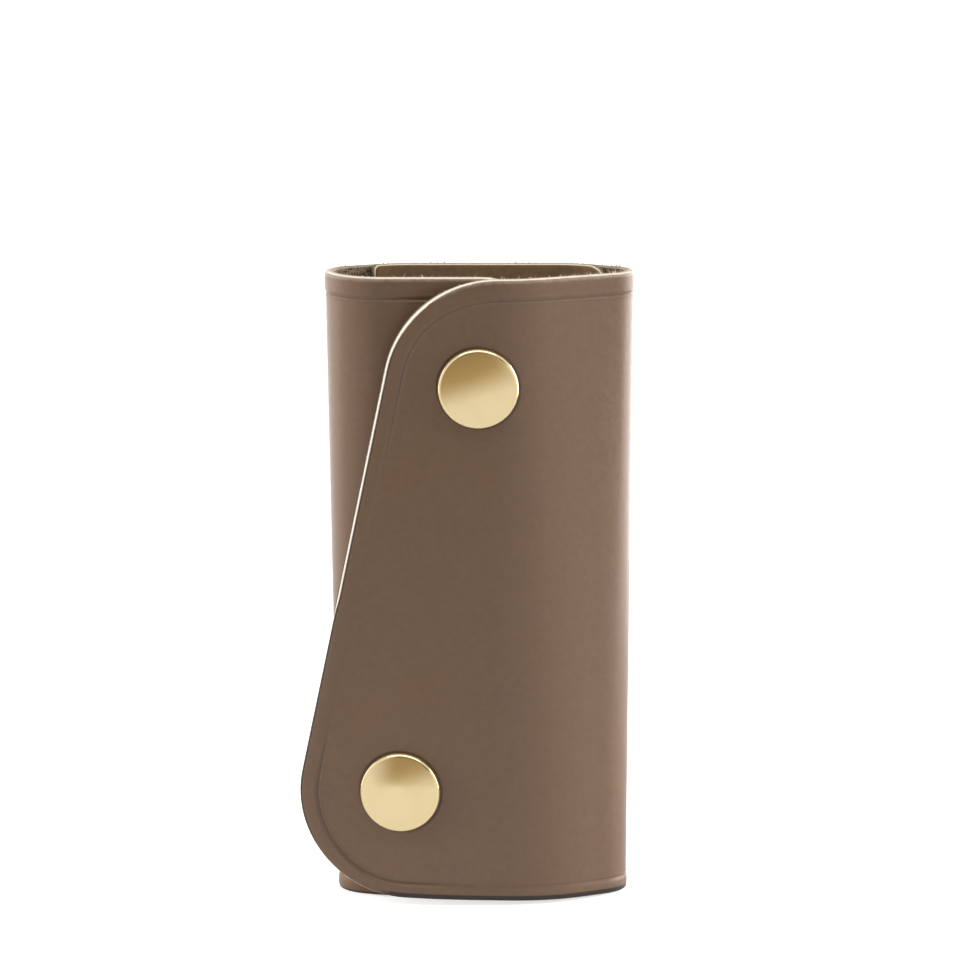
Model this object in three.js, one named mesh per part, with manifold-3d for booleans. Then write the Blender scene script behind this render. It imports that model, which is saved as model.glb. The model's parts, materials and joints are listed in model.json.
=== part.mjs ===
// Roll-up leather key case: one leather sheet wrapped into an upright oval tube, closed by two snaps,
// with a rack of hinged key hooks riveted to a leather liner inside the back.
// Millimetres, +Z up. The outer flap faces -Y and wraps from the right fold (+X) to the left.
import * as THREE from 'three';
import { mergeVertices } from 'three/addons/utils/BufferGeometryUtils.js';
import Module from 'manifold-3d';

const wasm = await Module();
wasm.setup();
const { degToRad, radToDeg, lerp, smoothstep } = THREE.MathUtils;
const HALF_TURN = 180;

// Leather sheet, cut as a parallelogram with rounded corners
const SHEET_HEIGHT = 110;
const SHEET_THICKNESS = 1.6;
const END_SLANT = 0.216;
const OUTER_REACH = 82.5;
const INNER_REACH = 58.4;
const OUTER_CORNER = 19;
const INNER_CORNER = 10;
const WRAP_RISE = 0.025;

// Fold lines, as distances along the sheet from the middle of the back
const RIGHT_BACK_FOLD = 17.5;
const RIGHT_TIP_FOLD = 28.6;
const LEFT_BACK_FOLD = 16.5;
const LEFT_TIP_FOLD = 28.4;
const FOLD_GAP = 0.3;

// Bends of the wrapped sheet at the top rim and at the bottom edge. Each side starts at the middle of the
// back, and a bend turns it by so many degrees, spread over so many millimetres around a distance.
const TOP_BACK = 8;
const TOP_RIGHT_BACK_BEND = { at: 16.5, turn: 22, spread: 8 };
const TOP_RIGHT_TIP = 28;
const TOP_RIGHT_TIP_SPREAD = 10;
const TOP_FLAP_STAND_OFF = 10.6;
const TOP_FLAP_SLOPE = 25;
const TOP_FLAP_SPREAD = 14;
const TOP_LEFT_BACK_BEND = { at: 15, turn: 18, spread: 8 };
const TOP_LEFT_TIP_BEND = { at: 27.2, turn: 103, spread: 10 };
const TOP_LEFT_FRONT_BEND = { at: 34.8, turn: 59, spread: 14 };
const BOTTOM_BACK = 10;
const BOTTOM_RIGHT_BACK_BEND = { at: 19.2, turn: 52, spread: 10 };
const BOTTOM_RIGHT_TIP_BEND = { at: 30.4, turn: 96, spread: 13 };
const BOTTOM_FLAP_BEND = { at: 47.1, turn: 30, spread: 18 };
const BOTTOM_FLAP_END_BEND = { at: 66, turn: 10, spread: 14 };
const BOTTOM_LEFT_BACK_BEND = { at: 18.2, turn: 50, spread: 10 };
const BOTTOM_LEFT_TIP_BEND = { at: 29.3, turn: 110, spread: 13 };
const BOTTOM_LEFT_FRONT_BEND = { at: 40.6, turn: 20, spread: 14 };

// Liner glued inside the back, over part of both folds
const LINER_THICKNESS = 1.2;
const LINER_CLEARANCE = 0.3;
const LINER_LEFT = 19;
const LINER_RIGHT = 24;
const LINER_DROP = 0.8;

// Snap fasteners: how far along the sheet and how far in from its upper or lower edge each one sits
const UPPER_SNAP_ALONG = 58.2;
const UPPER_SNAP_INSET = 18.9;
const UPPER_SNAP_LEAD = 6.4;
const LOWER_SNAP_ALONG = 72.4;
const LOWER_SNAP_INSET = 19.1;
const CAP_SEAT = 0.15;
const SOCKET_SEAT = 0.12;
const SNAP_SEAT = 0.3;
const SNAP_EDGE = 0.25;
const CAP_RADIUS = 7;
const CAP_HEIGHT = 1.5;
const CAP_CROWN = 0.25;
const CAP_SHOULDER = 0.75;
const CAP_POST_RADIUS = 1.6;
const CAP_FLARE_RADIUS = 2.5;
const CAP_FLARE_HEIGHT = 0.25;
const POST_CLEARANCE = 0.3;
const FLARE_CLEARANCE = 0.1;
const SOCKET_RADIUS = 4.9;
const SOCKET_HEIGHT = 1.9;
const SOCKET_BASE = 0.45;
const SOCKET_RECESS_RADIUS = 3.95;
const SOCKET_LIP_RADIUS = 3.45;
const SOCKET_LIP_HEIGHT = 0.3;
const SPRING_INNER_RADIUS = 3.15;
const SPRING_HEIGHT = 0.4;
const SPRING_CLEARANCE = 0.15;
const STUD_FLANGE_RADIUS = 4.2;
const STUD_FLANGE_HEIGHT = 0.45;
const STUD_NECK_RADIUS = 1.7;
const STUD_BALL_RADIUS = 2.1;
const STUD_BALL_HEIGHT = 0.6;
const STUD_BALL_EDGE = 0.2;
const STUD_BORE_CLEARANCE = 0.15;
const STUD_TIP_CLEARANCE = 0.2;
const STUD_WALL = 0.35;
const RIVET_DISC_RADIUS = 4;
const RIVET_DISC_HEIGHT = 0.6;
const RIVET_SHANK_RADIUS = 1.1;

// Hook rack: a stamped plate with rolled knuckles that carry a rod
const RACK_CENTRE = 1;
const ROD_DROP = 18;
const ROD_RADIUS = 0.8;
const ROD_CLEARANCE = 0.15;
const ROD_HEAD_RADIUS = 1.25;
const ROD_HEAD_LENGTH = 0.4;
const ROD_END_CLEARANCE = 0.2;
const KNUCKLE_RADIUS = 1.5;
const PLATE_THICKNESS = 0.8;
const PLATE_HEIGHT = 9;
const PLATE_CORNER = 2.2;
const PLATE_MARGIN = 0.65;
const PLATE_SEAT = 0.3;
const PLATE_RIVET_HEIGHT = 5.4;
const PLATE_RIVET_SPACING = 21.6;
const PLATE_RIVET_RADIUS = 1;
const PLATE_RIVET_HEAD_RADIUS = 2.2;
const PLATE_RIVET_HEAD_HEIGHT = 0.7;
const PLATE_RIVET_TAIL_RADIUS = 1.8;
const PLATE_RIVET_TAIL_HEIGHT = 0.35;
const PLATE_RIVET_CLEARANCE = 0.2;

// Key hooks: flat wire loops on the rod, each with a gap closed by a sprung gate
const HOOK_COUNT = 4;
const HOOK_PITCH = 7.2;
const HOOK_WIDTH = 5.8;
const HOOK_THICKNESS = 1.4;
const HOOK_WIRE = 1.4;
const HOOK_CHAMFER = 0.2;
const HOOK_NECK_WIDTH = 2.4;
const HOOK_LOOP_TOP = 3;
const HOOK_LENGTH = 25;
const EYE_WIDTH = 2.6;
const EYE_CLEARANCE = 0.3;
const GATE_GAP_TOP = 8.4;
const GATE_GAP_BOTTOM = 16;
const GATE_PIVOT_DROP = 7;
const GATE_WIDTH = 1.6;
const GATE_THICKNESS = 0.5;
const GATE_LAP = 1.5;
const GATE_CLEARANCE = 0.2;
const PIVOT_RADIUS = 0.4;
const PIVOT_HEAD_RADIUS = 0.75;
const PIVOT_HEAD_HEIGHT = 0.25;
const PIVOT_CLEARANCE = 0.15;

// Fineness of the facets
const WALK_STEP = 0.25;
const SEAT_STEP = 0.2;
const SEAT_REACH = 1.5;
const SEARCH_LIMIT = 0.0025;
const FLAP_COLUMNS = 18;
const FLAP_ROWS = 24;
const FLAP_CROWDING = 1.4;
const PANEL_COLUMNS = 16;
const LINER_COLUMNS = 32;
const PANEL_ROWS = 4;
const ROUND_SIDES = 24;
const SMALL_ROUND_SIDES = 12;

const LEATHER = new THREE.MeshStandardMaterial({ color: '#76604f', roughness: 0.5, metalness: 0 });
const LINER_LEATHER = new THREE.MeshStandardMaterial({ color: '#644f3c', roughness: 0.6, metalness: 0 });
const BRASS = new THREE.MeshStandardMaterial({ color: '#c9a86a', roughness: 0.3, metalness: 1 });
const SPRING_STEEL = new THREE.MeshStandardMaterial({ color: '#b9b4a8', roughness: 0.35, metalness: 1 });

// Boolean operations on closed meshes
function solidOf(geometry) {
  const bare = geometry.clone();
  bare.deleteAttribute('normal');
  bare.deleteAttribute('uv');
  const merged = mergeVertices(bare);
  const vertProperties = new Float32Array(merged.getAttribute('position').array);
  const triVerts = new Uint32Array(merged.getIndex().array);
  return new wasm.Manifold(new wasm.Mesh({ numProp: 3, vertProperties, triVerts }));
}

function geometryOf(solid) {
  const mesh = solid.getMesh();
  const geometry = new THREE.BufferGeometry();
  geometry.setAttribute('position', new THREE.BufferAttribute(mesh.vertProperties, 3));
  geometry.setIndex(new THREE.BufferAttribute(mesh.triVerts, 1));
  geometry.computeVertexNormals();
  return geometry;
}

function join(...geometries) {
  return geometryOf(geometries.map(solidOf).reduce((whole, piece) => whole.add(piece)));
}

function cut(geometry, ...tools) {
  return geometryOf(tools.map(solidOf).reduce((whole, tool) => whole.subtract(tool), solidOf(geometry)));
}

// Solid of revolution about Y. The profile is a list of [radius, y] pairs, counter-clockwise.
function turnedSolid(profile, sides = ROUND_SIDES) {
  return new THREE.LatheGeometry(profile.map(([radius, y]) => new THREE.Vector2(radius, y)), sides);
}

function cylinderAlongY(radius, from, to, sides = ROUND_SIDES) {
  return turnedSolid([[0, from], [radius, from], [radius, to], [0, to]], sides);
}

function ringAlongX(radius, bore, width) {
  const side = width / 2;
  const profile = [[bore, -side], [radius, -side], [radius, side], [bore, side], [bore, -side]];
  return turnedSolid(profile, SMALL_ROUND_SIDES).rotateZ(-Math.PI / 2);
}

// Shapes drawn in X and Z, extruded along Y from `front` to `back`
function extrudedAlongY(shape, front, back, bevel = 0) {
  const geometry = new THREE.ExtrudeGeometry(shape, {
    depth: back - front - 2 * bevel,
    curveSegments: SMALL_ROUND_SIDES / 2,
    bevelEnabled: bevel > 0,
    bevelThickness: bevel,
    bevelSize: bevel,
    bevelOffset: -bevel,
    bevelSegments: 1,
  });
  return geometry.rotateX(Math.PI / 2).translate(0, back - bevel, 0);
}

function slotShape(width, top, bottom) {
  const radius = width / 2;
  const shape = new THREE.Shape();
  shape.absarc(0, top - radius, radius, 0, Math.PI, false);
  shape.absarc(0, bottom + radius, radius, Math.PI, 2 * Math.PI, false);
  shape.closePath();
  return shape;
}

// The path of the middle of the leather along one side of a section
function headingAt(bends, distance) {
  const turned = bends.reduce(
    (sum, { at, turn, spread }) => sum + turn * smoothstep(distance, at - spread / 2, at + spread / 2),
    0,
  );
  return degToRad(turned);
}

function walk(bends, length) {
  const path = [];
  const point = new THREE.Vector2();
  for (let distance = 0; distance <= length; distance += WALK_STEP) {
    const heading = headingAt(bends, distance);
    path.push({ place: point.clone(), outward: new THREE.Vector2(Math.sin(heading), Math.cos(heading)) });
    const ahead = headingAt(bends, distance + WALK_STEP / 2);
    point.x += WALK_STEP * Math.cos(ahead);
    point.y -= WALK_STEP * Math.sin(ahead);
  }
  return path;
}

function wrappedSection(back, right, left) {
  const spare = END_SLANT * SHEET_HEIGHT;
  return { back, right: walk(right, OUTER_REACH + spare), left: walk(left, INNER_REACH + spare) };
}

// At the top rim the outer flap slants forward from the right fold until it stands off far enough for the
// upper snap, and bends there to lie along the front. It never slants less than clears the inner flap.
const topFlapAt = UPPER_SNAP_ALONG - UPPER_SNAP_LEAD;
const topFlapRise = radToDeg(Math.asin(TOP_FLAP_STAND_OFF / (topFlapAt - TOP_RIGHT_TIP)));
const topFlapTurn = Math.max(TOP_FLAP_SLOPE, topFlapRise);
const topRightTipTurn = HALF_TURN - TOP_RIGHT_BACK_BEND.turn - topFlapTurn;

const topRim = wrappedSection(
  TOP_BACK,
  [
    TOP_RIGHT_BACK_BEND,
    { at: TOP_RIGHT_TIP, turn: topRightTipTurn, spread: TOP_RIGHT_TIP_SPREAD },
    { at: topFlapAt, turn: topFlapTurn, spread: TOP_FLAP_SPREAD },
  ],
  [TOP_LEFT_BACK_BEND, TOP_LEFT_TIP_BEND, TOP_LEFT_FRONT_BEND],
);
const bottomEdge = wrappedSection(
  BOTTOM_BACK,
  [BOTTOM_RIGHT_BACK_BEND, BOTTOM_RIGHT_TIP_BEND, BOTTOM_FLAP_BEND, BOTTOM_FLAP_END_BEND],
  [BOTTOM_LEFT_BACK_BEND, BOTTOM_LEFT_TIP_BEND, BOTTOM_LEFT_FRONT_BEND],
);

// A point of a section: distances to the right of the middle of the back count up, to the left down.
// Depth counts outward from the middle of the leather.
function sectionPoint(section, along, depth) {
  const path = along < 0 ? section.left : section.right;
  const step = Math.abs(along) / WALK_STEP;
  const index = Math.min(Math.floor(step), path.length - 2);
  const place = path[index].place.clone().lerp(path[index + 1].place, step - index);
  const outward = path[index].outward.clone().lerp(path[index + 1].outward, step - index);
  place.addScaledVector(outward, depth);
  return new THREE.Vector2(along < 0 ? -place.x : place.x, place.y + section.back);
}

// A point of the wrapped sheet. The outer flap is wrapped slightly uphill from the right fold.
function sheetPoint(along, height, depth) {
  const plan = sectionPoint(bottomEdge, along, depth);
  plan.lerp(sectionPoint(topRim, along, depth), height / SHEET_HEIGHT);
  const rise = WRAP_RISE * Math.max(0, along - RIGHT_TIP_FOLD);
  return new THREE.Vector3(plan.x, plan.y, height + rise);
}

// Where a slanted end of the sheet with rounded corners lies at each height
function roundedEnd(reach, slant, corner) {
  const straight = (height) => reach + slant * (SHEET_HEIGHT / 2 - height);
  const stretch = Math.hypot(1, slant);
  const tangent = corner * slant / stretch;
  return (height) => {
    const upper = height > SHEET_HEIGHT / 2;
    const centre = upper ? SHEET_HEIGHT - corner : corner;
    const inCorner = upper ? height > centre + tangent : height < centre + tangent;
    if (!inCorner) return straight(height);
    const rise = height - centre;
    return straight(centre) - corner * stretch + Math.sqrt(Math.max(0, corner ** 2 - rise ** 2));
  };
}

// A closed panel of the sheet, bent from a flat block. `from` and `to` give its two ends at a height.
function bentPanel({ from, to, low, high, inner, outer, columns, rows, crowding = 1, evenRows = true }) {
  const block = new THREE.BoxGeometry(1, 1, 1, columns, rows, 1);
  const vertices = block.getAttribute('position');
  const facing = from(low) < to(low) ? -1 : 1;
  for (let i = 0; i < vertices.count; i += 1) {
    const across = (vertices.getX(i) + 0.5) ** crowding;
    const up = vertices.getY(i) + 0.5;
    const eased = evenRows ? up : (1 - Math.cos(Math.PI * up)) / 2;
    const height = lerp(low, high, eased);
    const depth = lerp(inner, outer, 0.5 + facing * vertices.getZ(i));
    const point = sheetPoint(lerp(from(height), to(height), across), height, depth);
    vertices.setXYZ(i, point.x, point.y, point.z);
  }
  block.computeVertexNormals();
  return block;
}

const OUTER_FACE = SHEET_THICKNESS / 2;
const INNER_FACE = -SHEET_THICKNESS / 2;
const LINER_BACK = INNER_FACE - LINER_CLEARANCE;
const LINER_FRONT = LINER_BACK - LINER_THICKNESS;

function leatherPanel(from, to) {
  return bentPanel({
    from: () => from,
    to: () => to,
    low: 0,
    high: SHEET_HEIGHT,
    inner: INNER_FACE,
    outer: OUTER_FACE,
    columns: PANEL_COLUMNS,
    rows: PANEL_ROWS,
  });
}

function leatherFlap(fold, end) {
  return bentPanel({
    from: () => fold,
    to: end,
    low: 0,
    high: SHEET_HEIGHT,
    inner: INNER_FACE,
    outer: OUTER_FACE,
    columns: FLAP_COLUMNS,
    rows: FLAP_ROWS,
    crowding: FLAP_CROWDING,
    evenRows: false,
  });
}

const keyCase = new THREE.Group();

function addPart(name, geometry, material, parent = keyCase) {
  const mesh = new THREE.Mesh(geometry, material);
  mesh.name = name;
  parent.add(mesh);
  return mesh;
}

// Where a snap's axis meets the inner flap, as a distance along the sheet
function innerFlapUnder(origin, outward) {
  const sideways = new THREE.Vector3(-outward.y, outward.x, 0);
  const missAt = (distance) => sheetPoint(-distance, origin.z, OUTER_FACE).sub(origin).dot(sideways);
  let near = LEFT_TIP_FOLD;
  let far = INNER_REACH + END_SLANT * SHEET_HEIGHT / 2;
  const descending = missAt(near) > missAt(far);
  while (far - near > SEARCH_LIMIT) {
    const middle = (near + far) / 2;
    if (missAt(middle) > 0 === descending) near = middle;
    else far = middle;
  }
  return near;
}

// Levels of one face of the leather along a snap's axis, within a radius of that axis
function leatherLevels(origin, outward, along, face, radius) {
  const levels = [];
  const reach = radius * SEAT_REACH;
  for (let across = -reach; across <= reach; across += SEAT_STEP) {
    for (let up = -radius; up <= radius; up += SEAT_STEP) {
      const point = sheetPoint(along + across, origin.z + up, face).sub(origin);
      const level = point.dot(outward);
      if (point.addScaledVector(outward, -level).length() <= radius) levels.push(level);
    }
  }
  return levels;
}

// Each snap stands square to the outer flap. Its pieces rest on the leather that each of them meets.
function snapSite({ along, height }) {
  const origin = sheetPoint(along, height, 0);
  const outward = sheetPoint(along, height, 1).sub(origin).normalize();
  const under = -innerFlapUnder(origin, outward);
  const group = new THREE.Group();
  group.position.copy(origin);
  group.quaternion.setFromUnitVectors(new THREE.Vector3(0, 1, 0), outward);
  group.updateMatrixWorld(true);
  return {
    group,
    socketSeat: Math.min(...leatherLevels(origin, outward, along, INNER_FACE, SOCKET_RADIUS)),
    studSeat: Math.max(...leatherLevels(origin, outward, under, OUTER_FACE, STUD_FLANGE_RADIUS)),
    rivetSeat: Math.min(...leatherLevels(origin, outward, under, INNER_FACE, RIVET_DISC_RADIUS)),
  };
}

// Share of a low dome's height that is left at a share of its radius
function domeShare(share) {
  return 1 - share ** 2;
}

// The pieces of one snap, as profiles along its axis. Zero is the middle of the outer flap.
function addSnap(snap) {
  const { group, socketSeat, studSeat, rivetSeat } = snapSite(snap);
  const capBase = OUTER_FACE + CAP_SEAT;
  const crownBase = capBase + CAP_HEIGHT - CAP_CROWN;
  const crownRadius = CAP_RADIUS - CAP_SHOULDER;
  const socketTop = socketSeat - SOCKET_SEAT;
  const recessFloor = socketTop - SOCKET_BASE;
  const socketMouth = socketTop - SOCKET_HEIGHT;
  const flareTop = recessFloor - FLARE_CLEARANCE;
  const flareTip = flareTop - CAP_FLARE_HEIGHT;
  const lipTop = socketMouth + SOCKET_LIP_HEIGHT;
  const springBase = lipTop + SPRING_CLEARANCE;
  const ballTip = flareTip - STUD_TIP_CLEARANCE;
  const ballBase = ballTip - STUD_BALL_HEIGHT;
  const flangeBase = studSeat + SNAP_SEAT;
  const flangeTop = flangeBase + STUD_FLANGE_HEIGHT;
  const boreRadius = RIVET_SHANK_RADIUS + STUD_BORE_CLEARANCE;
  const boreTop = ballTip - STUD_WALL;
  const discTop = rivetSeat - SNAP_SEAT;

  addPart(`snap_cap_${snap.name}`, turnedSolid([
    [0, flareTip],
    [CAP_FLARE_RADIUS, flareTip],
    [CAP_FLARE_RADIUS, flareTop],
    [CAP_POST_RADIUS, flareTop],
    [CAP_POST_RADIUS, capBase],
    [CAP_RADIUS - SNAP_EDGE, capBase],
    [CAP_RADIUS, capBase + SNAP_EDGE],
    [CAP_RADIUS, crownBase - CAP_SHOULDER],
    [CAP_RADIUS - SNAP_EDGE, crownBase - SNAP_EDGE],
    [crownRadius, crownBase],
    [crownRadius / 2, crownBase + CAP_CROWN * domeShare(1 / 2)],
    [0, crownBase + CAP_CROWN],
  ]), BRASS, group);
  addPart(`snap_socket_${snap.name}`, turnedSolid([
    [CAP_POST_RADIUS + POST_CLEARANCE, recessFloor],
    [SOCKET_RECESS_RADIUS, recessFloor],
    [SOCKET_RECESS_RADIUS, lipTop],
    [SOCKET_LIP_RADIUS, lipTop],
    [SOCKET_LIP_RADIUS, socketMouth],
    [SOCKET_RADIUS - SNAP_EDGE, socketMouth],
    [SOCKET_RADIUS, socketMouth + SNAP_EDGE],
    [SOCKET_RADIUS, socketTop],
    [CAP_POST_RADIUS + POST_CLEARANCE, socketTop],
    [CAP_POST_RADIUS + POST_CLEARANCE, recessFloor],
  ]), BRASS, group);
  addPart(`snap_spring_${snap.name}`, turnedSolid([
    [SPRING_INNER_RADIUS, springBase],
    [SOCKET_RECESS_RADIUS - SPRING_CLEARANCE, springBase],
    [SOCKET_RECESS_RADIUS - SPRING_CLEARANCE, springBase + SPRING_HEIGHT],
    [SPRING_INNER_RADIUS, springBase + SPRING_HEIGHT],
    [SPRING_INNER_RADIUS, springBase],
  ]), SPRING_STEEL, group);
  addPart(`snap_stud_${snap.name}`, turnedSolid([
    [boreRadius, flangeBase],
    [STUD_FLANGE_RADIUS, flangeBase],
    [STUD_FLANGE_RADIUS, flangeTop],
    [STUD_NECK_RADIUS, flangeTop],
    [STUD_NECK_RADIUS, ballBase],
    [STUD_BALL_RADIUS, ballBase + STUD_BALL_EDGE],
    [STUD_BALL_RADIUS, ballTip - STUD_BALL_EDGE],
    [STUD_NECK_RADIUS, ballTip],
    [0, ballTip],
    [0, boreTop],
    [boreRadius, boreTop],
    [boreRadius, flangeBase],
  ]), BRASS, group);
  addPart(`stud_rivet_${snap.name}`, turnedSolid([
    [0, discTop - RIVET_DISC_HEIGHT],
    [RIVET_DISC_RADIUS - SNAP_EDGE, discTop - RIVET_DISC_HEIGHT],
    [RIVET_DISC_RADIUS, discTop - RIVET_DISC_HEIGHT + SNAP_EDGE],
    [RIVET_DISC_RADIUS, discTop],
    [RIVET_SHANK_RADIUS, discTop],
    [RIVET_SHANK_RADIUS, boreTop - STUD_BORE_CLEARANCE],
    [0, boreTop - STUD_BORE_CLEARANCE],
  ]), BRASS, group);
  keyCase.add(group);

  const flapHole = cylinderAlongY(CAP_POST_RADIUS + POST_CLEARANCE, socketTop, capBase);
  const studHole = cylinderAlongY(RIVET_SHANK_RADIUS + POST_CLEARANCE, discTop, flangeBase);
  return {
    flapHole: flapHole.applyMatrix4(group.matrixWorld),
    studHole: studHole.applyMatrix4(group.matrixWorld),
  };
}

const snapHoles = [
  { name: 'upper', along: UPPER_SNAP_ALONG, height: SHEET_HEIGHT - UPPER_SNAP_INSET },
  { name: 'lower', along: LOWER_SNAP_ALONG, height: LOWER_SNAP_INSET },
].map(addSnap);

// The five leather panels, parted at the fold lines
const foldHalfGap = FOLD_GAP / 2;
const outerEnd = roundedEnd(OUTER_REACH, END_SLANT, OUTER_CORNER);
const innerEnd = roundedEnd(INNER_REACH, -END_SLANT, INNER_CORNER);
const outerFlap = leatherFlap(RIGHT_TIP_FOLD + foldHalfGap, outerEnd);
const innerFlap = leatherFlap(-LEFT_TIP_FOLD - foldHalfGap, (height) => -innerEnd(height));
addPart('back_panel', leatherPanel(-LEFT_BACK_FOLD + foldHalfGap, RIGHT_BACK_FOLD - foldHalfGap), LEATHER);
addPart('right_fold', leatherPanel(RIGHT_BACK_FOLD + foldHalfGap, RIGHT_TIP_FOLD - foldHalfGap), LEATHER);
addPart('left_fold', leatherPanel(-LEFT_TIP_FOLD + foldHalfGap, -LEFT_BACK_FOLD - foldHalfGap), LEATHER);
addPart('outer_flap', cut(outerFlap, ...snapHoles.map((holes) => holes.flapHole)), LEATHER);
addPart('inner_flap', cut(innerFlap, ...snapHoles.map((holes) => holes.studHole)), LEATHER);

// The rack stands on the front of the liner and leans with the back
const rack = new THREE.Group();
rack.position.copy(sheetPoint(RACK_CENTRE, SHEET_HEIGHT - ROD_DROP, LINER_FRONT));
rack.rotation.x = Math.atan2(BOTTOM_BACK - TOP_BACK, SHEET_HEIGHT);
rack.updateMatrixWorld(true);
keyCase.add(rack);

const plateFront = -PLATE_SEAT - PLATE_THICKNESS;
const rodBack = -PLATE_SEAT - KNUCKLE_RADIUS;
const rodBore = ROD_RADIUS + ROD_CLEARANCE;
const hookPlaces = Array.from({ length: HOOK_COUNT }, (_, i) => (i - (HOOK_COUNT - 1) / 2) * HOOK_PITCH);
const plateWidth = HOOK_COUNT * HOOK_PITCH + 2 * PLATE_MARGIN;
const eyeSlot = EYE_WIDTH + 2 * EYE_CLEARANCE;
const rivetPlaces = [
  { name: 'left', x: -PLATE_RIVET_SPACING / 2, z: PLATE_RIVET_HEIGHT },
  { name: 'right', x: PLATE_RIVET_SPACING / 2, z: PLATE_RIVET_HEIGHT },
];

function plateShape() {
  const side = plateWidth / 2;
  const shape = new THREE.Shape();
  shape.moveTo(-side, 0);
  shape.lineTo(side, 0);
  shape.lineTo(side, PLATE_HEIGHT - PLATE_CORNER);
  shape.absarc(side - PLATE_CORNER, PLATE_HEIGHT - PLATE_CORNER, PLATE_CORNER, 0, Math.PI / 2, false);
  shape.absarc(PLATE_CORNER - side, PLATE_HEIGHT - PLATE_CORNER, PLATE_CORNER, Math.PI / 2, Math.PI, false);
  shape.closePath();
  return shape;
}

function hookPlate() {
  const sheet = extrudedAlongY(plateShape(), plateFront, -PLATE_SEAT);
  const barrel = ringAlongX(KNUCKLE_RADIUS, rodBore, plateWidth).translate(0, rodBack, 0);
  const bore = cylinderAlongY(rodBore, -plateWidth, plateWidth, SMALL_ROUND_SIDES)
    .rotateZ(-Math.PI / 2)
    .translate(0, rodBack, 0);
  const slotHeight = 2 * (KNUCKLE_RADIUS + EYE_CLEARANCE);
  const slots = hookPlaces.map((x) =>
    new THREE.BoxGeometry(eyeSlot, slotHeight, slotHeight).translate(x, rodBack, 0));
  const rivetHoles = rivetPlaces.map(({ x, z }) =>
    cylinderAlongY(PLATE_RIVET_RADIUS + PLATE_RIVET_CLEARANCE, rodBack, 0, SMALL_ROUND_SIDES)
      .translate(x, 0, z));
  return cut(join(sheet, barrel), bore, ...slots, ...rivetHoles);
}

const rivetHead = plateFront - PLATE_RIVET_CLEARANCE;
const rivetTailBack = LINER_THICKNESS - PLATE_RIVET_CLEARANCE;
const rivetTailFront = rivetTailBack - PLATE_RIVET_TAIL_HEIGHT;

function plateRivet() {
  return turnedSolid([
    [0, rivetHead - PLATE_RIVET_HEAD_HEIGHT],
    [PLATE_RIVET_HEAD_RADIUS / 2, rivetHead - PLATE_RIVET_HEAD_HEIGHT * domeShare(1 / 2)],
    [PLATE_RIVET_HEAD_RADIUS, rivetHead],
    [PLATE_RIVET_RADIUS, rivetHead],
    [PLATE_RIVET_RADIUS, rivetTailFront],
    [PLATE_RIVET_TAIL_RADIUS, rivetTailFront],
    [PLATE_RIVET_TAIL_RADIUS, rivetTailBack],
    [0, rivetTailBack],
  ], SMALL_ROUND_SIDES);
}

// A stepped hole in the liner, wide at the back so that the rivet's tail lies below the surface
function linerHole() {
  const narrow = PLATE_RIVET_RADIUS + PLATE_RIVET_CLEARANCE;
  const wide = PLATE_RIVET_TAIL_RADIUS + PLATE_RIVET_CLEARANCE;
  const step = rivetTailFront - PLATE_RIVET_CLEARANCE;
  const past = LINER_THICKNESS + LINER_CLEARANCE;
  return turnedSolid([
    [0, -PLATE_SEAT],
    [narrow, -PLATE_SEAT],
    [narrow, step],
    [wide, step],
    [wide, past],
    [0, past],
  ], SMALL_ROUND_SIDES);
}

function liner() {
  const patch = bentPanel({
    from: () => -LINER_LEFT,
    to: () => LINER_RIGHT,
    low: LINER_DROP,
    high: SHEET_HEIGHT - LINER_DROP,
    inner: LINER_FRONT,
    outer: LINER_BACK,
    columns: LINER_COLUMNS,
    rows: PANEL_ROWS,
  });
  const holes = rivetPlaces.map(({ x, z }) =>
    linerHole().translate(x, 0, z).applyMatrix4(rack.matrixWorld));
  return cut(patch, ...holes);
}

function hookRod() {
  const inner = plateWidth / 2 + ROD_END_CLEARANCE;
  const outer = inner + ROD_HEAD_LENGTH;
  return turnedSolid([
    [0, -outer],
    [ROD_HEAD_RADIUS, -outer],
    [ROD_HEAD_RADIUS, -inner],
    [ROD_RADIUS, -inner],
    [ROD_RADIUS, inner],
    [ROD_HEAD_RADIUS, inner],
    [ROD_HEAD_RADIUS, outer],
    [0, outer],
  ], SMALL_ROUND_SIDES).rotateZ(-Math.PI / 2).translate(0, rodBack, 0);
}

addPart('liner', liner(), LINER_LEATHER);
addPart('hook_plate', hookPlate(), BRASS, rack);
addPart('hook_rod', hookRod(), BRASS, rack);
rivetPlaces.forEach(({ name, x, z }) => {
  addPart(`plate_rivet_${name}`, plateRivet(), BRASS, rack).position.set(x, 0, z);
});

// A hook hangs plumb from the rod: an eye, a short neck and a long loop with a gap in its right side
const hookFront = -HOOK_THICKNESS / 2;
const wireCentre = (HOOK_WIDTH - HOOK_WIRE) / 2;
const gateFront = hookFront - GATE_CLEARANCE - GATE_THICKNESS;

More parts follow.
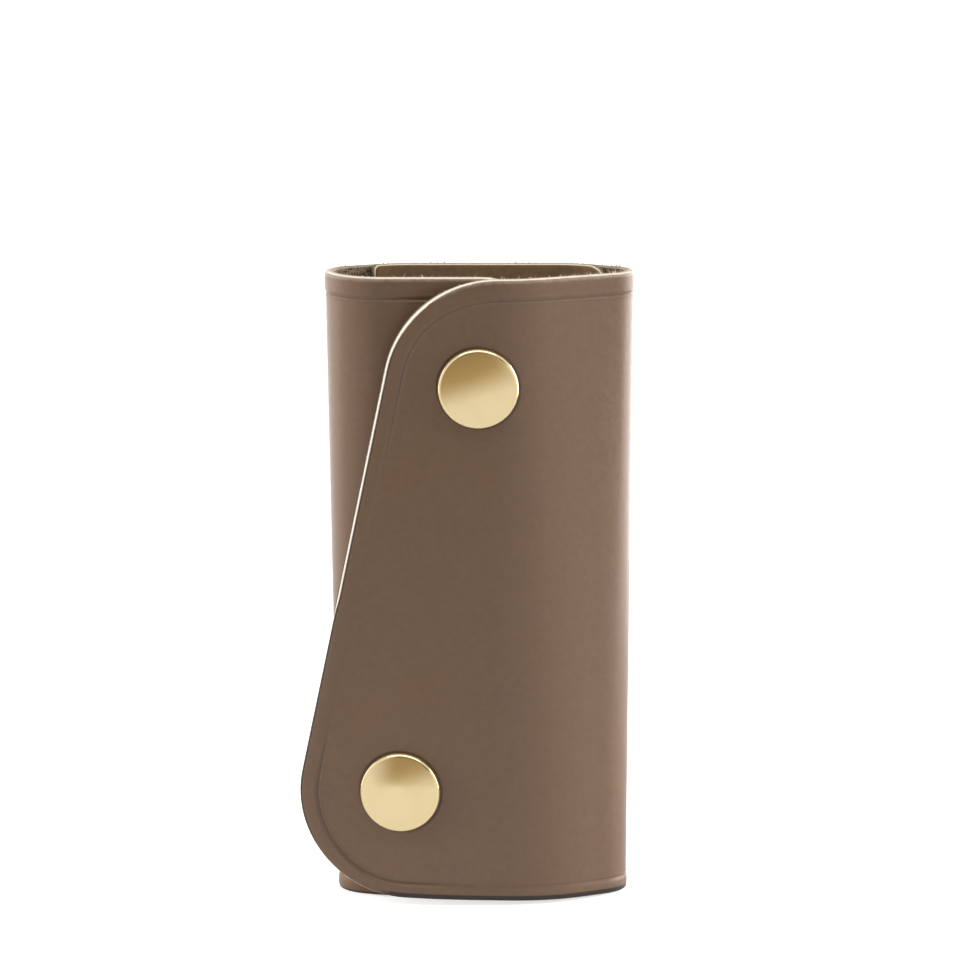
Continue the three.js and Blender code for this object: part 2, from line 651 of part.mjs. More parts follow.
function keyHook() {
  const loop = slotShape(HOOK_WIDTH, -HOOK_LOOP_TOP, -HOOK_LENGTH);
  const loopInside = HOOK_WIDTH - 2 * HOOK_WIRE;
  loop.holes.push(slotShape(loopInside, -HOOK_LOOP_TOP - HOOK_WIRE, HOOK_WIRE - HOOK_LENGTH));
  const neckHeight = HOOK_LOOP_TOP + HOOK_WIRE - rodBore;
  const neck = new THREE.BoxGeometry(HOOK_NECK_WIDTH, HOOK_THICKNESS - 2 * HOOK_CHAMFER, neckHeight)
    .translate(0, 0, -rodBore - neckHeight / 2);
  const eye = ringAlongX(KNUCKLE_RADIUS, rodBore, EYE_WIDTH);
  const bore = cylinderAlongY(rodBore, -EYE_WIDTH, EYE_WIDTH, SMALL_ROUND_SIDES).rotateZ(-Math.PI / 2);
  const gap = new THREE.BoxGeometry(2 * HOOK_WIRE, HOOK_WIDTH, GATE_GAP_BOTTOM - GATE_GAP_TOP)
    .translate(wireCentre, 0, -(GATE_GAP_TOP + GATE_GAP_BOTTOM) / 2);
  const headBack = gateFront - GATE_CLEARANCE;
  const pivot = turnedSolid([
    [0, headBack - PIVOT_HEAD_HEIGHT],
    [PIVOT_HEAD_RADIUS, headBack - PIVOT_HEAD_HEIGHT],
    [PIVOT_HEAD_RADIUS, headBack],
    [PIVOT_RADIUS, headBack],
    [PIVOT_RADIUS, 0],
    [0, 0],
  ], SMALL_ROUND_SIDES).translate(wireCentre, 0, -GATE_PIVOT_DROP);
  const wire = extrudedAlongY(loop, hookFront, -hookFront, HOOK_CHAMFER);
  return join(cut(join(wire, neck, eye), gap, bore), pivot);
}

// The gate hangs from the pivot in front of the loop and laps over the end of the wire below the gap
function hookGate() {
  const length = GATE_GAP_BOTTOM + GATE_LAP - GATE_PIVOT_DROP;
  const shape = slotShape(GATE_WIDTH, GATE_WIDTH / 2, -length);
  const eye = new THREE.Path();
  eye.absarc(0, 0, PIVOT_RADIUS + PIVOT_CLEARANCE, 0, 2 * Math.PI, false);
  shape.holes.push(eye);
  return extrudedAlongY(shape, gateFront, gateFront + GATE_THICKNESS);
}

const rodCentre = new THREE.Vector3(0, rodBack, 0).applyMatrix4(rack.matrixWorld);
const hookRow = new THREE.Group();
hookRow.position.copy(rodCentre);
keyCase.add(hookRow);
hookPlaces.forEach((x, i) => {
  addPart(`key_hook_${i + 1}`, keyHook(), BRASS, hookRow).position.x = x;
  addPart(`hook_gate_${i + 1}`, hookGate(), SPRING_STEEL, hookRow)
    .position.set(x + wireCentre, 0, -GATE_PIVOT_DROP);
});

// The case stands on its lower edge, centred on the origin
const bounds = new THREE.Box3().setFromObject(keyCase, true);
const middle = bounds.getCenter(new THREE.Vector3());
keyCase.position.set(-middle.x, -middle.y, -bounds.min.z);

// Hinge lines in the finished frame: the fold lines lie on the outside of the leather
function foldLine(along) {
  const low = sheetPoint(along, 0, OUTER_FACE);
  const axis = sheetPoint(along, SHEET_HEIGHT, OUTER_FACE).sub(low).normalize();
  return { point: low.add(keyCase.position), axis };
}

keyCase.userData.hinges = {
  rightBackFold: foldLine(RIGHT_BACK_FOLD),
  rightTipFold: foldLine(RIGHT_TIP_FOLD),
  leftBackFold: foldLine(-LEFT_BACK_FOLD),
  leftTipFold: foldLine(-LEFT_TIP_FOLD),
  hookRod: { point: rodCentre.clone().add(keyCase.position), axis: new THREE.Vector3(1, 0, 0) },
};

export default keyCase;
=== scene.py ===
"""Looks of a roll-up leather key case: wrapped leather, snap fasteners, hook rack, light and camera.

Sizes are millimetres on the flat leather and along the axes of the snaps; MM turns them into metres.
"""

import json
import logging
import math
from dataclasses import dataclass, field
from enum import IntEnum
from functools import partial

import bmesh
import bpy
import numpy as np
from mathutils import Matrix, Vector
from numpy.typing import NDArray


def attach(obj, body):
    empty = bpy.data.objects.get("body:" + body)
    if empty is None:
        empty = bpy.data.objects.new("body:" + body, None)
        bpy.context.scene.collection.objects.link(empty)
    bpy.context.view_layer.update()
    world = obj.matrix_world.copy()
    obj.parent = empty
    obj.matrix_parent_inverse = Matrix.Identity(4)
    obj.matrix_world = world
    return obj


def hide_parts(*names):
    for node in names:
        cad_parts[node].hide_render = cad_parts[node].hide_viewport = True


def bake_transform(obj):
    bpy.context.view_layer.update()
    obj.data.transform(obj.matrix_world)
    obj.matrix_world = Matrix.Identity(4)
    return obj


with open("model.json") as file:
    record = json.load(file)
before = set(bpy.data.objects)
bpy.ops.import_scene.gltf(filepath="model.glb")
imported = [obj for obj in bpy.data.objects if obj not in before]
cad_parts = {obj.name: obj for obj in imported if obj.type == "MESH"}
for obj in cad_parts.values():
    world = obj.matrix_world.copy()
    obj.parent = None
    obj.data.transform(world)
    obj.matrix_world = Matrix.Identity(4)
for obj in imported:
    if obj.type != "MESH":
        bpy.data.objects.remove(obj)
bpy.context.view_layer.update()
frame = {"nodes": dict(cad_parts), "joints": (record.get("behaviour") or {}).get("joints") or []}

Array = NDArray[np.float64]
Pair = tuple[float, float]
Material = bpy.types.Material
Piece = bpy.types.Object
MM = 0.001
# Points of a mesh closer than this many metres are welded.
WELD = 1e-7
SHEET_HEIGHT = 110.0
HIDE_THICKNESS = 1.6
# Where the snaps sit on the flat sheet: along it from the middle of the back, and up it.
UPPER_SNAP = (58.2, 91.1)
LOWER_SNAP = (72.4, 19.1)
# The head of a pin is flat over this share of its radius, and there it lies this much under its top.
HEAD_FLAT = 0.7
HEAD_EASE = 0.05
# Settings of a node that mixes two colours, with the factor in input 0, the colours in 6 and 7.
BLEND = {"out": 2, "data_type": "RGBA"}
log = logging.getLogger("key_case")


class Side(IntEnum):
    """Which way a panel runs along the sheet from the middle of the back."""

    LEFT = -1
    RIGHT = 1


class Face(IntEnum):
    """Which face of the leather shows, used as the material index of leather pieces."""

    GRAIN = 0
    CUT = 1
    FLESH = 2


class GrainSide(IntEnum):
    """Whether the grain of a leather piece faces out of the case or into it."""

    INWARD = -1
    OUTWARD = 1


def smoothstep(value: Array, low: Array | float, high: float) -> Array:
    """Eases from 0 at low to 1 at high as 3t^2 - 2t^3.

    Args:
        value: Where to read the curve.
        low: Value at which it starts to rise.
        high: Value at which it has risen.

    Returns:
        The eased share, in the shape of value.
    """
    share = np.clip((np.asarray(value, float) - low) / (high - low), 0, 1)
    return share * share * (3 - 2 * share)


def filleted(corners: Array, radius: float, steps: int = 6, most: float = 0.48) -> Array:
    """Rounds the inner corners of an open outline with quadratic curves.

    Each corner c gives way to (1-t)^2 a + 2t(1-t) c + t^2 b, where a and b lie up to radius before and
    after it.

    Args:
        corners: Points of the outline, one row each.
        radius: Longest distance from a corner at which its rounding starts.
        steps: Points on each rounding.
        most: Largest share of a straight run that one rounding takes.

    Returns:
        Points of the rounded outline.
    """
    corners = np.asarray(corners, float)
    before, corner, after = corners[:-2], corners[1:-1], corners[2:]
    back = before - corner
    ahead = after - corner
    back_length = np.linalg.norm(back, axis=1, keepdims=True)
    ahead_length = np.linalg.norm(ahead, axis=1, keepdims=True)
    start = corner + back / back_length * np.minimum(radius, most * back_length)
    end = corner + ahead / ahead_length * np.minimum(radius, most * ahead_length)
    t = np.linspace(0, 1, steps)[None, :, None]
    curve = (1 - t) ** 2 * start[:, None] + 2 * t * (1 - t) * corner[:, None] + t**2 * end[:, None]
    return np.concatenate([corners[:1], curve.reshape(-1, corners.shape[1]), corners[-1:]])


def squared_circle(power: float, count: int = 24) -> Array:
    """Points of a circle pressed towards a square: cos and sin keep their signs and are raised to a power.

    Args:
        power: 1 leaves the circle round, and 0 would make it square.
        count: Points round it.

    Returns:
        Points with a radius of about 1, one row each.
    """
    angle = np.linspace(0, 2 * np.pi, count, endpoint=False)
    wave = np.stack([np.cos(angle), np.sin(angle)], axis=-1)
    return np.sign(wave) * np.abs(wave) ** power


@dataclass
class MeshDraft:
    """Grids and polygons of one piece, welded into one closed mesh when it is built."""

    points: list[Array] = field(default_factory=list)
    quads: list[NDArray[np.int64]] = field(default_factory=list)
    quad_finish: list[NDArray[np.int64]] = field(default_factory=list)
    polygons: list[NDArray[np.int64]] = field(default_factory=list)
    polygon_finish: list[int] = field(default_factory=list)
    marks: dict[str, list[Array]] = field(default_factory=dict)
    count: int = 0

    def add_grid(
        self, points: Array, finish: NDArray | int = 0, wrap: bool = False, **marks: Array
    ) -> NDArray:
        """Adds a grid of points with a quad between each four neighbours.

        Args:
            points: Rows by columns by three, in metres.
            finish: Material index of every quad, or one for all.
            wrap: Whether the last column joins the first.
            **marks: Named values of the points, for materials to read.

        Returns:
            The index of each point, rows by columns.
        """
        rows, columns = points.shape[:2]
        index = np.arange(self.count, self.count + rows * columns).reshape(rows, columns)
        self.count += rows * columns
        self.points.append(points.reshape(-1, 3))
        for name, values in marks.items():
            self.marks.setdefault(name, []).append(values.reshape(rows * columns, -1))
        joined = np.concatenate([index, index[:, :1]], axis=1) if wrap else index
        quads = np.stack([joined[:-1, :-1], joined[:-1, 1:], joined[1:, 1:], joined[1:, :-1]], axis=-1)
        self.quads.append(quads.reshape(-1, 4))
        self.quad_finish.append(np.broadcast_to(finish, quads.shape[:2]).reshape(-1).astype(np.int64))
        return index

    def add_polygon(self, index: NDArray, finish: int = 0) -> None:
        """Closes an opening with one flat face over points that are already there."""
        self.polygons.append(np.asarray(index).reshape(-1))
        self.polygon_finish.append(int(finish))

    def add_tube(self, points: Array) -> None:
        """Adds a grid that goes round and is shut by a flat face at each end.

        Args:
            points: Rings by points of a ring by three, in metres.
        """
        index = self.add_grid(points, wrap=True)
        self.add_polygon(index[0])
        self.add_polygon(index[-1])

    def build(self, name: str, materials: list[Material]) -> Piece:
        """Welds what was added and makes the piece.

        Points closer than WELD become one, a quad that loses a corner at a pole becomes a triangle, and
        faces are turned outwards. Grids are shaded smooth and polygons flat, with sharp edges round them.

        Args:
            name: Name of the piece.
            materials: Finishes in the order of the material indices.

        Returns:
            The object, at the origin.
        """
        points = np.concatenate(self.points)
        keys = np.round(points / WELD).astype(np.int64)
        _, first, place = np.unique(keys, axis=0, return_index=True, return_inverse=True)
        place = place.reshape(-1)
        quads = place[np.concatenate(self.quads)]
        kept = quads != np.roll(quads, 1, axis=1)
        whole = kept.sum(axis=1) > 2
        closing = [place[polygon] for polygon in self.polygons]
        loops = np.concatenate([quads[whole][kept[whole]], *closing])
        sizes = np.concatenate([kept[whole].sum(axis=1), [len(p) for p in closing]]).astype(np.int64)
        starts = np.concatenate([[0], np.cumsum(sizes)[:-1]])
        finish = np.concatenate([np.concatenate(self.quad_finish)[whole], self.polygon_finish])
        mesh = bpy.data.meshes.new(name)
        mesh.vertices.add(len(first))
        mesh.vertices.foreach_set("co", points[first].astype(np.float32).ravel())
        mesh.loops.add(len(loops))
        mesh.loops.foreach_set("vertex_index", loops.astype(np.int32))
        mesh.polygons.add(len(sizes))
        mesh.polygons.foreach_set("loop_start", starts.astype(np.int32))
        mesh.polygons.foreach_set("material_index", finish.astype(np.int32))
        mesh.polygons.foreach_set("use_smooth", np.arange(len(sizes)) < whole.sum())
        mesh.update(calc_edges=True)
        mesh.validate()
        for mark, values in self.marks.items():
            data = np.concatenate(values)[first].astype(np.float32)
            kind, key = ("FLOAT_VECTOR", "vector") if data.shape[1] == 3 else ("FLOAT", "value")
            mesh.attributes.new(mark, kind, "POINT").data.foreach_set(key, data.ravel())
        shape = bmesh.new()
        shape.from_mesh(mesh)
        bmesh.ops.recalc_face_normals(shape, faces=shape.faces)
        for edge in {edge for face in shape.faces if not face.smooth for edge in face.edges}:
            edge.smooth = False
        shape.to_mesh(mesh)
        shape.free()
        piece = bpy.data.objects.new(name, mesh)
        bpy.context.scene.collection.objects.link(piece)
        for material in materials:
            mesh.materials.append(material)
        log.info("%s: %d faces", name, len(mesh.polygons))
        return piece


@dataclass(frozen=True)
class LocalFrame:
    """A place with three axes, in metres, in which a small piece is drawn in millimetres."""

    origin: Array
    across: Array
    along: Array
    up: Array

    @classmethod
    def about(cls, origin: Array, axis: Array) -> "LocalFrame":
        """Makes a frame round an axis that lies nearly level, with its up axis as near to +Z as it can be.

        Args:
            origin: Where the frame stands, in metres.
            axis: The direction of its along axis, of any length.

        Returns:
            The frame.
        """
        along = axis / np.linalg.norm(axis)
        across = np.cross(along, [0.0, 0.0, 1.0])
        across /= np.linalg.norm(across)
        return cls(origin, across, along, np.cross(across, along))

    @classmethod
    def upright(cls, origin: Array) -> "LocalFrame":
        """Makes a frame at a place, in metres, with the axes of the shared frame."""
        return cls(origin, *np.eye(3))

    def crosswise(self) -> "LocalFrame":
        """Gives the frame whose along axis is this one's across axis, for what turns round a rod."""
        return LocalFrame(self.origin, self.along, self.across, self.up)

    def place(self, local: Array) -> Array:
        """Turns local millimetres into metres of the shared frame."""
        axes = np.stack([self.across, self.along, self.up])
        return self.origin + MM * (np.asarray(local, float) @ axes)


def turned(draft: MeshDraft, spot: LocalFrame, profile: Array, sides: int) -> None:
    """Adds a turned solid: each (radius, level) of the profile goes round the frame's along axis.

    A point is radius cos(a) across + level along + radius sin(a) up, for angles a that go once round.

    Args:
        draft: Where the solid is added.
        spot: Frame whose along axis is the solid's axis.
        profile: Radius and level of each point; it starts and ends on the axis, or is closed.
        sides: Points round the axis.
    """
    angle = np.linspace(0, 2 * np.pi, sides, endpoint=False)
    radius, level = profile[:, :1], profile[:, 1:]
    local = np.stack([radius * np.cos(angle), level + 0 * angle, radius * np.sin(angle)], axis=-1)
    draft.add_grid(spot.place(local), wrap=True)


def tube_profile(bore: float, radius: float, start: float, stop: float, fillet: float) -> Array:
    """Closed section of a short tube, for turning.

    Args:
        bore: Radius of the hole.
        radius: Radius of the outside.
        start: Level at which the tube starts.
        stop: Level at which it ends.
        fillet: Rounding of its edges.

    Returns:
        Radius and level of each point, from the middle of the bore round to it again.
    """
    middle = (start + stop) / 2
    radii = [bore, bore, radius, radius, bore, bore]
    levels = [middle, start, start, stop, stop, middle]
    return filleted(np.stack([radii, levels], axis=-1), fillet)


def swept(
    draft: MeshDraft, spot: LocalFrame, path: Array, side: Array, profile: Array, taper: float = 0.5
) -> None:
    """Adds a bar: a closed profile carried along a path in the frame's across and up plane.

    A point is path + u side + v along, where (u, v) is a point of the profile. Each end is drawn out by
    three smaller rings on a quarter ellipse.

    Args:
        draft: Where the bar is added.
        spot: Frame in which the path lies.
        path: Centre line, across and up of each point.
        side: Unit vectors across the path, as many as there are points.
        profile: Closed section, one (u, v) a row.
        taper: How far the ends are drawn out and in, as a share of the section's half width.
    """
    turn = np.radians([80.0, 50.0, 20.0])
    reach = taper * np.abs(profile).max()
    ahead = np.array([1.0, -1.0]) * side[:, ::-1]
    ahead *= np.sign(np.sum(ahead[0] * (path[1] - path[0])))
    lead = path[0] - reach * np.sin(turn)[:, None] * ahead[0]
    tail = path[-1] + reach * np.sin(turn[::-1])[:, None] * ahead[-1]
    small = 1 - taper * (1 - np.cos(turn))
    size = np.concatenate([small, np.ones(len(path)), small[::-1]])
    centre = np.concatenate([lead, path, tail])
    sides = np.concatenate([np.repeat(side[:1], len(turn), 0), side, np.repeat(side[-1:], len(turn), 0)])
    plan = centre[:, None] + (size[:, None] * profile[:, 0])[..., None] * sides[:, None]
    depth = size[:, None] * profile[:, 1]
    draft.add_tube(spot.place(np.stack([plan[..., 0], depth, plan[..., 1]], axis=-1)))


def slab(
    draft: MeshDraft,
    spot: LocalFrame,
    outline: Array,
    faces: Pair,
    edge: float,
    crown: float = 0.0,
    spread: float = 0.0,
) -> None:
    """Adds a plate with rounded edges: an outline in across and up, thick along the frame's along axis.

    Ring by ring the outline shrinks along its normals by edge (1 - cos a) while the level comes to the face
    by edge sin a; a flat polygon closes each face. A crowned front rises as a parabola over the spread.

    Args:
        draft: Where the plate is added.
        spot: Frame in which the plate lies.
        outline: Closed outline, anticlockwise, one (across, up) a row.
        faces: Levels of the front and the back face.
        edge: Radius of the rounded edges.
        crown: How far the middle of the front stands out.
        spread: How far in from the outline the crown reaches its height.
    """
    front, back = faces
    run = np.roll(outline, -1, 0) - np.roll(outline, 1, 0)
    normal = np.stack([run[:, 1], -run[:, 0]], axis=1) / np.linalg.norm(run, axis=1, keepdims=True)
    bend = np.radians(np.linspace(90, 0, 5))
    shrink = np.concatenate([edge * (1 - np.cos(bend)), edge * (1 - np.cos(bend[::-1]))])
    level = np.concatenate([front + edge * (1 - np.sin(bend)), back - edge * (1 - np.sin(bend[::-1]))])
    if crown:
        share = np.linspace(1, 0, 6)[:-1]
        shrink = np.concatenate([edge + (spread - edge) * share, shrink])
        level = np.concatenate([front - crown * (1 - (1 - share) ** 2), level])
    plan = outline[None] - shrink[:, None, None] * normal[None]
    depth = np.repeat(level[:, None], len(outline), 1)
    draft.add_tube(spot.place(np.stack([plan[..., 0], depth, plan[..., 1]], axis=-1)))


def linear(colour: str) -> tuple[float, float, float, float]:
    """Turns an sRGB colour into linear light: v / 12.92 in the dark, ((v + 0.055) / 1.055)^2.4 above.

    Args:
        colour: Hex colour such as #705640.

    Returns:
        Red, green, blue and alpha.
    """
    values = np.array([int(colour[i : i + 2], 16) for i in (1, 3, 5)]) / 255
    low, high = values / 12.92, ((values + 0.055) / 1.055) ** 2.4
    red, green, blue = np.where(values <= 0.04045, low, high)
    return float(red), float(green), float(blue), 1.0


def add_node(
    tree: bpy.types.NodeTree, kind: str, inputs: dict | tuple = (), out: str | int = 0, **settings: object
) -> bpy.types.NodeSocket | None:
    """Adds one shader node with its settings and links.

    Args:
        tree: Node tree of the material or world.
        kind: Blender's name of the node, without the ShaderNode that each starts with.
        inputs: A value, or another node's output to link, by the input's name or number; a tuple goes from
            the first input on, so that of MapRange is value, from, from, to and to.
        out: Name or number of the output to give back.
        **settings: The node's own settings.

    Returns:
        That output, or None for a node that has none.
    """
    node = tree.nodes.new(f"ShaderNode{kind}")
    for name, value in settings.items():
        setattr(node, name, value)
    pairs = inputs.items() if isinstance(inputs, dict) else enumerate(inputs)
    for name, value in pairs:
        if isinstance(value, bpy.types.NodeSocket):
            tree.links.new(value, node.inputs[name])
        else:
            node.inputs[name].default_value = value
    return node.outputs[out] if node.outputs else None


def new_material(name: str) -> tuple[Material, partial]:
    """Makes a material whose node tree is empty.

    Args:
        name: Name of the material.

    Returns:
        The material, and add_node for its tree.
    """
    material = bpy.data.materials.new(name)
    material.use_nodes = True
    material.node_tree.nodes.clear()
    return material, partial(add_node, material.node_tree)


def per_metre(size: float) -> float:
    """Scale of a pattern whose cells are size millimetres wide, for coordinates in metres."""
    return 1 / (size * MM)


@dataclass(frozen=True)
class GrainLeather:
    """Vegetable-tanned calf, coloured with dye right through and plated smooth: satin, softly mottled, with
    fine pores.
    """

    name: str
    colour: str
    warm: str
    worn: str
    pressed: str
    # Colour of the dark line: edge dye and painted shade on the ends, painted shade on the lower edge and
    # round the caps.
    dyed_and_shaded: str = "#2b2019"
    # Where the painted contact shadow rings the caps, and its inner and outer radius.
    snap_shadows: tuple[Pair, ...] = ()
    shadow_radii: Pair = (7.0, 7.45)
    grain_level: float = HIDE_THICKNESS / 2
    roughness: float = 0.36
    gloss_spread: float = 0.05
    sheen: float = 0.2
    sheen_roughness: float = 0.35
    mottle: float = 14.0
    mottle_levels: Pair = (0.38, 0.62)
    # Real crinkles and pores are too fine to show at this size, so they are drawn coarser.
    crinkle: float = 1.1
    pore: float = 0.45
    crinkle_levels: Pair = (0.3, 0.7)
    tones: Pair = (0.95, 1.05)
    crease_tint: float = 0.24
    rubbed_rim: Pair = (0.25, 0.75)
    pore_share: float = 0.5
    bump: float = 0.035
    bump_strength: float = 0.6

    def material(self) -> Material:
        """Makes the grain side from the flat hide: dye mottling, pores, pressed creases, rubbed borders, a
        dark line of edge dye and painted shade, and painted shadows round the caps.

        Returns:
            The material.
        """
        material, add = new_material(self.name)
        flat = add("Attribute", out="Vector", attribute_name="flat")
        marks = [add("Attribute", out="Fac", attribute_name=mark) for mark in ("rim", "crease", "dye")]
        rim, crease, dye_and_shade_line = marks
        cloud = add("TexNoise", {"Vector": flat, "Scale": per_metre(self.mottle), "Detail": 4.0})
        dye = add("MapRange", (cloud, *self.mottle_levels))
        colour = add("Mix", {0: dye, 6: linear(self.colour), 7: linear(self.warm)}, **BLEND)
        fine = add("TexNoise", {"Vector": flat, "Scale": per_metre(self.crinkle), "Detail": 6.0})
        shade = add("MapRange", (fine, *self.crinkle_levels, *self.tones))
        toned = add("VectorMath", {0: colour, "Scale": shade}, operation="SCALE")
        groove = add("Math", (crease, self.crease_tint), operation="MULTIPLY", use_clamp=True)
        pressed = add("Mix", {0: groove, 6: toned, 7: linear(self.pressed)}, **BLEND)
        rubbed = add("MapRange", (rim, *self.rubbed_rim, 1.0, 0.0))
        patchy = add("Math", (rubbed, fine), operation="MULTIPLY", use_clamp=True)
        finished = add("Mix", {0: patchy, 6: pressed, 7: linear(self.worn)}, **BLEND)
        # A dark line of edge dye and painted shade along the ends, and of painted shade along the lower
        # edge.
        surface = add("Mix", {0: dye_and_shade_line, 6: finished, 7: linear(self.dyed_and_shaded)}, **BLEND)
        # Painted contact shadow: a thin ring of painted shade round the rim of each cap.
        for along, up in self.snap_shadows:
            centre = (along * MM, up * MM, self.grain_level * MM)
            away = add("VectorMath", (flat, centre), out="Value", operation="DISTANCE")
            mark = add("MapRange", (away, *(radius * MM for radius in self.shadow_radii), 1.0, 0.0))
            surface = add("Mix", {0: mark, 6: surface, 7: linear(self.dyed_and_shaded)}, **BLEND)
        pores = add("TexVoronoi", {"Vector": flat, "Scale": per_metre(self.pore)})
        relief = add("Math", (pores, self.pore_share, fine), operation="MULTIPLY_ADD")
        bump = {"Height": relief, "Strength": self.bump_strength, "Distance": self.bump * MM}
        shiny, dull = self.roughness - self.gloss_spread, self.roughness + self.gloss_spread
        skin = {
            "Base Color": surface,
            "Roughness": add("MapRange", (fine, *self.crinkle_levels, shiny, dull)),
            "Sheen Weight": self.sheen,
            "Sheen Roughness": self.sheen_roughness,
            "Normal": add("Bump", bump),
        }
        add("OutputMaterial", (add("BsdfPrincipled", skin),))
        return material


@dataclass(frozen=True)
class RawCut:
    """Raw cut edge of the hide: undyed cream fibre, matt, with darker strands lying along it."""

    name: str = "raw_cut_leather_edge"
    colour: str = "#f2e7d7"
    loose: str = "#a6947d"
    rubbed: str = "#5d5445"
    shaded: str = "#38271a"
    loose_level: float = -0.55
    tight_level: float = 0.35
    rubbed_to: float = 24.0
    pale_from: float = 30.0
    # Single fibres are too fine to show, so strands are drawn coarser, as bundles of them.
    strand: float = 0.22
    strand_levels: Pair = (0.3, 0.7)
    ragged: float = 0.35
    roughness: float = 0.95
    bump: float = 0.09
    bump_strength: float = 0.8

    def material(self) -> Material:
        """Makes the cut edge: pale and tight under the grain, browner and looser towards the flesh.

        Near the middle of the back the edge is rubbed, and its underside lies in shade.

        Returns:
            The material.
        """
        material, add = new_material(self.name)
        flat = add("Attribute", out="Vector", attribute_name="flat")
        # Here the dye mark is painted shade over the cut's lower half, mixed towards the shaded colour.
        under = add("Attribute", out="Fac", attribute_name="dye")
        fibre = add("TexNoise", {"Vector": flat, "Scale": per_metre(self.strand), "Detail": 5.0})
        along, _, depth = add("SeparateXYZ", (flat,)).node.outputs
        tight = add("MapRange", (depth, self.loose_level * MM, self.tight_level * MM))
        ragged = add("MapRange", (fibre, *self.strand_levels, -self.ragged, self.ragged))
        share = add("Math", (tight, ragged), operation="ADD", use_clamp=True)
        away = add("Math", (along,), operation="ABSOLUTE")
        clean = add("MapRange", (away, self.rubbed_to * MM, self.pale_from * MM))
        pale = add("Mix", {0: clean, 6: linear(self.rubbed), 7: linear(self.colour)}, **BLEND)
        colour = add("Mix", {0: share, 6: linear(self.loose), 7: pale}, **BLEND)
        bump = {"Height": fibre, "Strength": self.bump_strength, "Distance": self.bump * MM}
        skin = {
            "Base Color": add("Mix", {0: under, 6: colour, 7: linear(self.shaded)}, **BLEND),
            "Roughness": self.roughness,
            "Normal": add("Bump", bump),
        }
        add("OutputMaterial", (add("BsdfPrincipled", skin),))
        return material


@dataclass(frozen=True)
class FleshSide:
    """Flesh side of the hide: shaved suede, close and even, its fibres teased up loose along the rim."""

    name: str = "flesh_side_suede"
    tip: str = "#cdb28e"
    root: str = "#33251a"
    close_tip: str = "#ad9779"
    close_root: str = "#725c46"
    loose_above: float = 106.0
    close_below: float = 84.0
    clump: float = 0.8
    clump_twist: float = 1.2
    clump_roughness: float = 0.75
    # Drawn coarser than single fibres, as on the cut edge, and stretched up the hide.
    strand: float = 0.22
    strand_draw: float = 0.35
    strand_roughness: float = 0.6
    pile_levels: Pair = (0.86, 1.18)
    loose_strength: float = 0.9
    close_strength: float = 0.3
    bump: float = 0.2
    sheen: float = 0.25
    gloss: float = 0.1

    def material(self) -> Material:
        """Makes the suede: coarse clumps broken up by finer fibres, with no gloss.

        Returns:
            The material.
        """
        material, add = new_material(self.name)
        flat = add("Attribute", out="Vector", attribute_name="flat")
        tuft = {"Scale": per_metre(self.clump), "Detail": 6.0, "Roughness": self.clump_roughness}
        clumps = add("TexNoise", {"Vector": flat, "Distortion": self.clump_twist, **tuft})
        shift = {0: clumps.node.outputs["Color"], "Scale": self.clump * MM}
        warped = add("VectorMath", shift, operation="SCALE")
        bent = add("VectorMath", (flat, warped), operation="ADD")
        drawn = add("Mapping", {"Vector": bent, "Scale": (1.0, self.strand_draw, 1.0)})
        hair = {"Scale": per_metre(self.strand), "Detail": 3.0, "Roughness": self.strand_roughness}
        strands = add("TexNoise", {"Vector": drawn, **hair})
        both = add("Math", (clumps, strands), operation="ADD")
        share = add("MapRange", (both, *self.pile_levels))
        height = add("SeparateXYZ", (flat,), out=1)
        close = add("MapRange", (height, self.loose_above * MM, self.close_below * MM))
        gaps = add("Mix", {0: close, 6: linear(self.root), 7: linear(self.close_root)}, **BLEND)
        tips = add("Mix", {0: close, 6: linear(self.tip), 7: linear(self.close_tip)}, **BLEND)
        pile = add("MapRange", (close, 0.0, 1.0, self.loose_strength, self.close_strength))
        bump = {"Height": share, "Strength": pile, "Distance": self.bump * MM}
        skin = {
            "Base Color": add("Mix", {0: share, 6: gaps, 7: tips}, **BLEND),
            "Roughness": 1.0,
            "Sheen Weight": self.sheen,
            "Specular IOR Level": self.gloss,
            "Normal": add("Bump", bump),
        }
        add("OutputMaterial", (add("BsdfPrincipled", skin),))
        return material


@dataclass(frozen=True)
class StampedMetal:
    """Stamped and polished metal: bright, with a faint haze and hairline marks from tumbling."""

    name: str
    colour: str
    deep: str
    roughness: float
    haze: float = 3.5
    tone_levels: Pair = (0.35, 0.7)
    deepest: float = 0.25
    gloss_levels: Pair = (0.3, 0.7)
    gloss_shift: Pair = (-0.02, 0.03)
    # Real marks are hundredths of a millimetre wide and too fine to show, so they are drawn coarser.
    hairline: float = 0.18
    hairline_draw: float = 0.08
    bump: float = 0.004
    bump_strength: float = 0.15

    def material(self) -> Material:
        """Makes the metal: haze shifts the gloss and tone a little, hairlines break the reflections.

        Returns:
            The material.
        """
        material, add = new_material(self.name)
        place = add("TexCoord", out="Object")
        haze = add("TexNoise", {"Vector": place, "Scale": per_metre(self.haze), "Detail": 3.0})
        drawn = add("Mapping", {"Vector": place, "Scale": (1.0, 1.0, self.hairline_draw)})
        lines = add("TexNoise", {"Vector": drawn, "Scale": per_metre(self.hairline), "Detail": 2.0})
        tone = add("MapRange", (haze, *self.tone_levels, 0.0, self.deepest))
        gloss = (self.roughness + shift for shift in self.gloss_shift)
        bump = {"Height": lines, "Strength": self.bump_strength, "Distance": self.bump * MM}
        skin = {
            "Base Color": add("Mix", {0: tone, 6: linear(self.colour), 7: linear(self.deep)}, **BLEND),
            "Metallic": 1.0,
            "Roughness": add("MapRange", (haze, *self.gloss_levels, *gloss)),
            "Normal": add("Bump", bump),
        }
        add("OutputMaterial", (add("BsdfPrincipled", skin),))
        return material


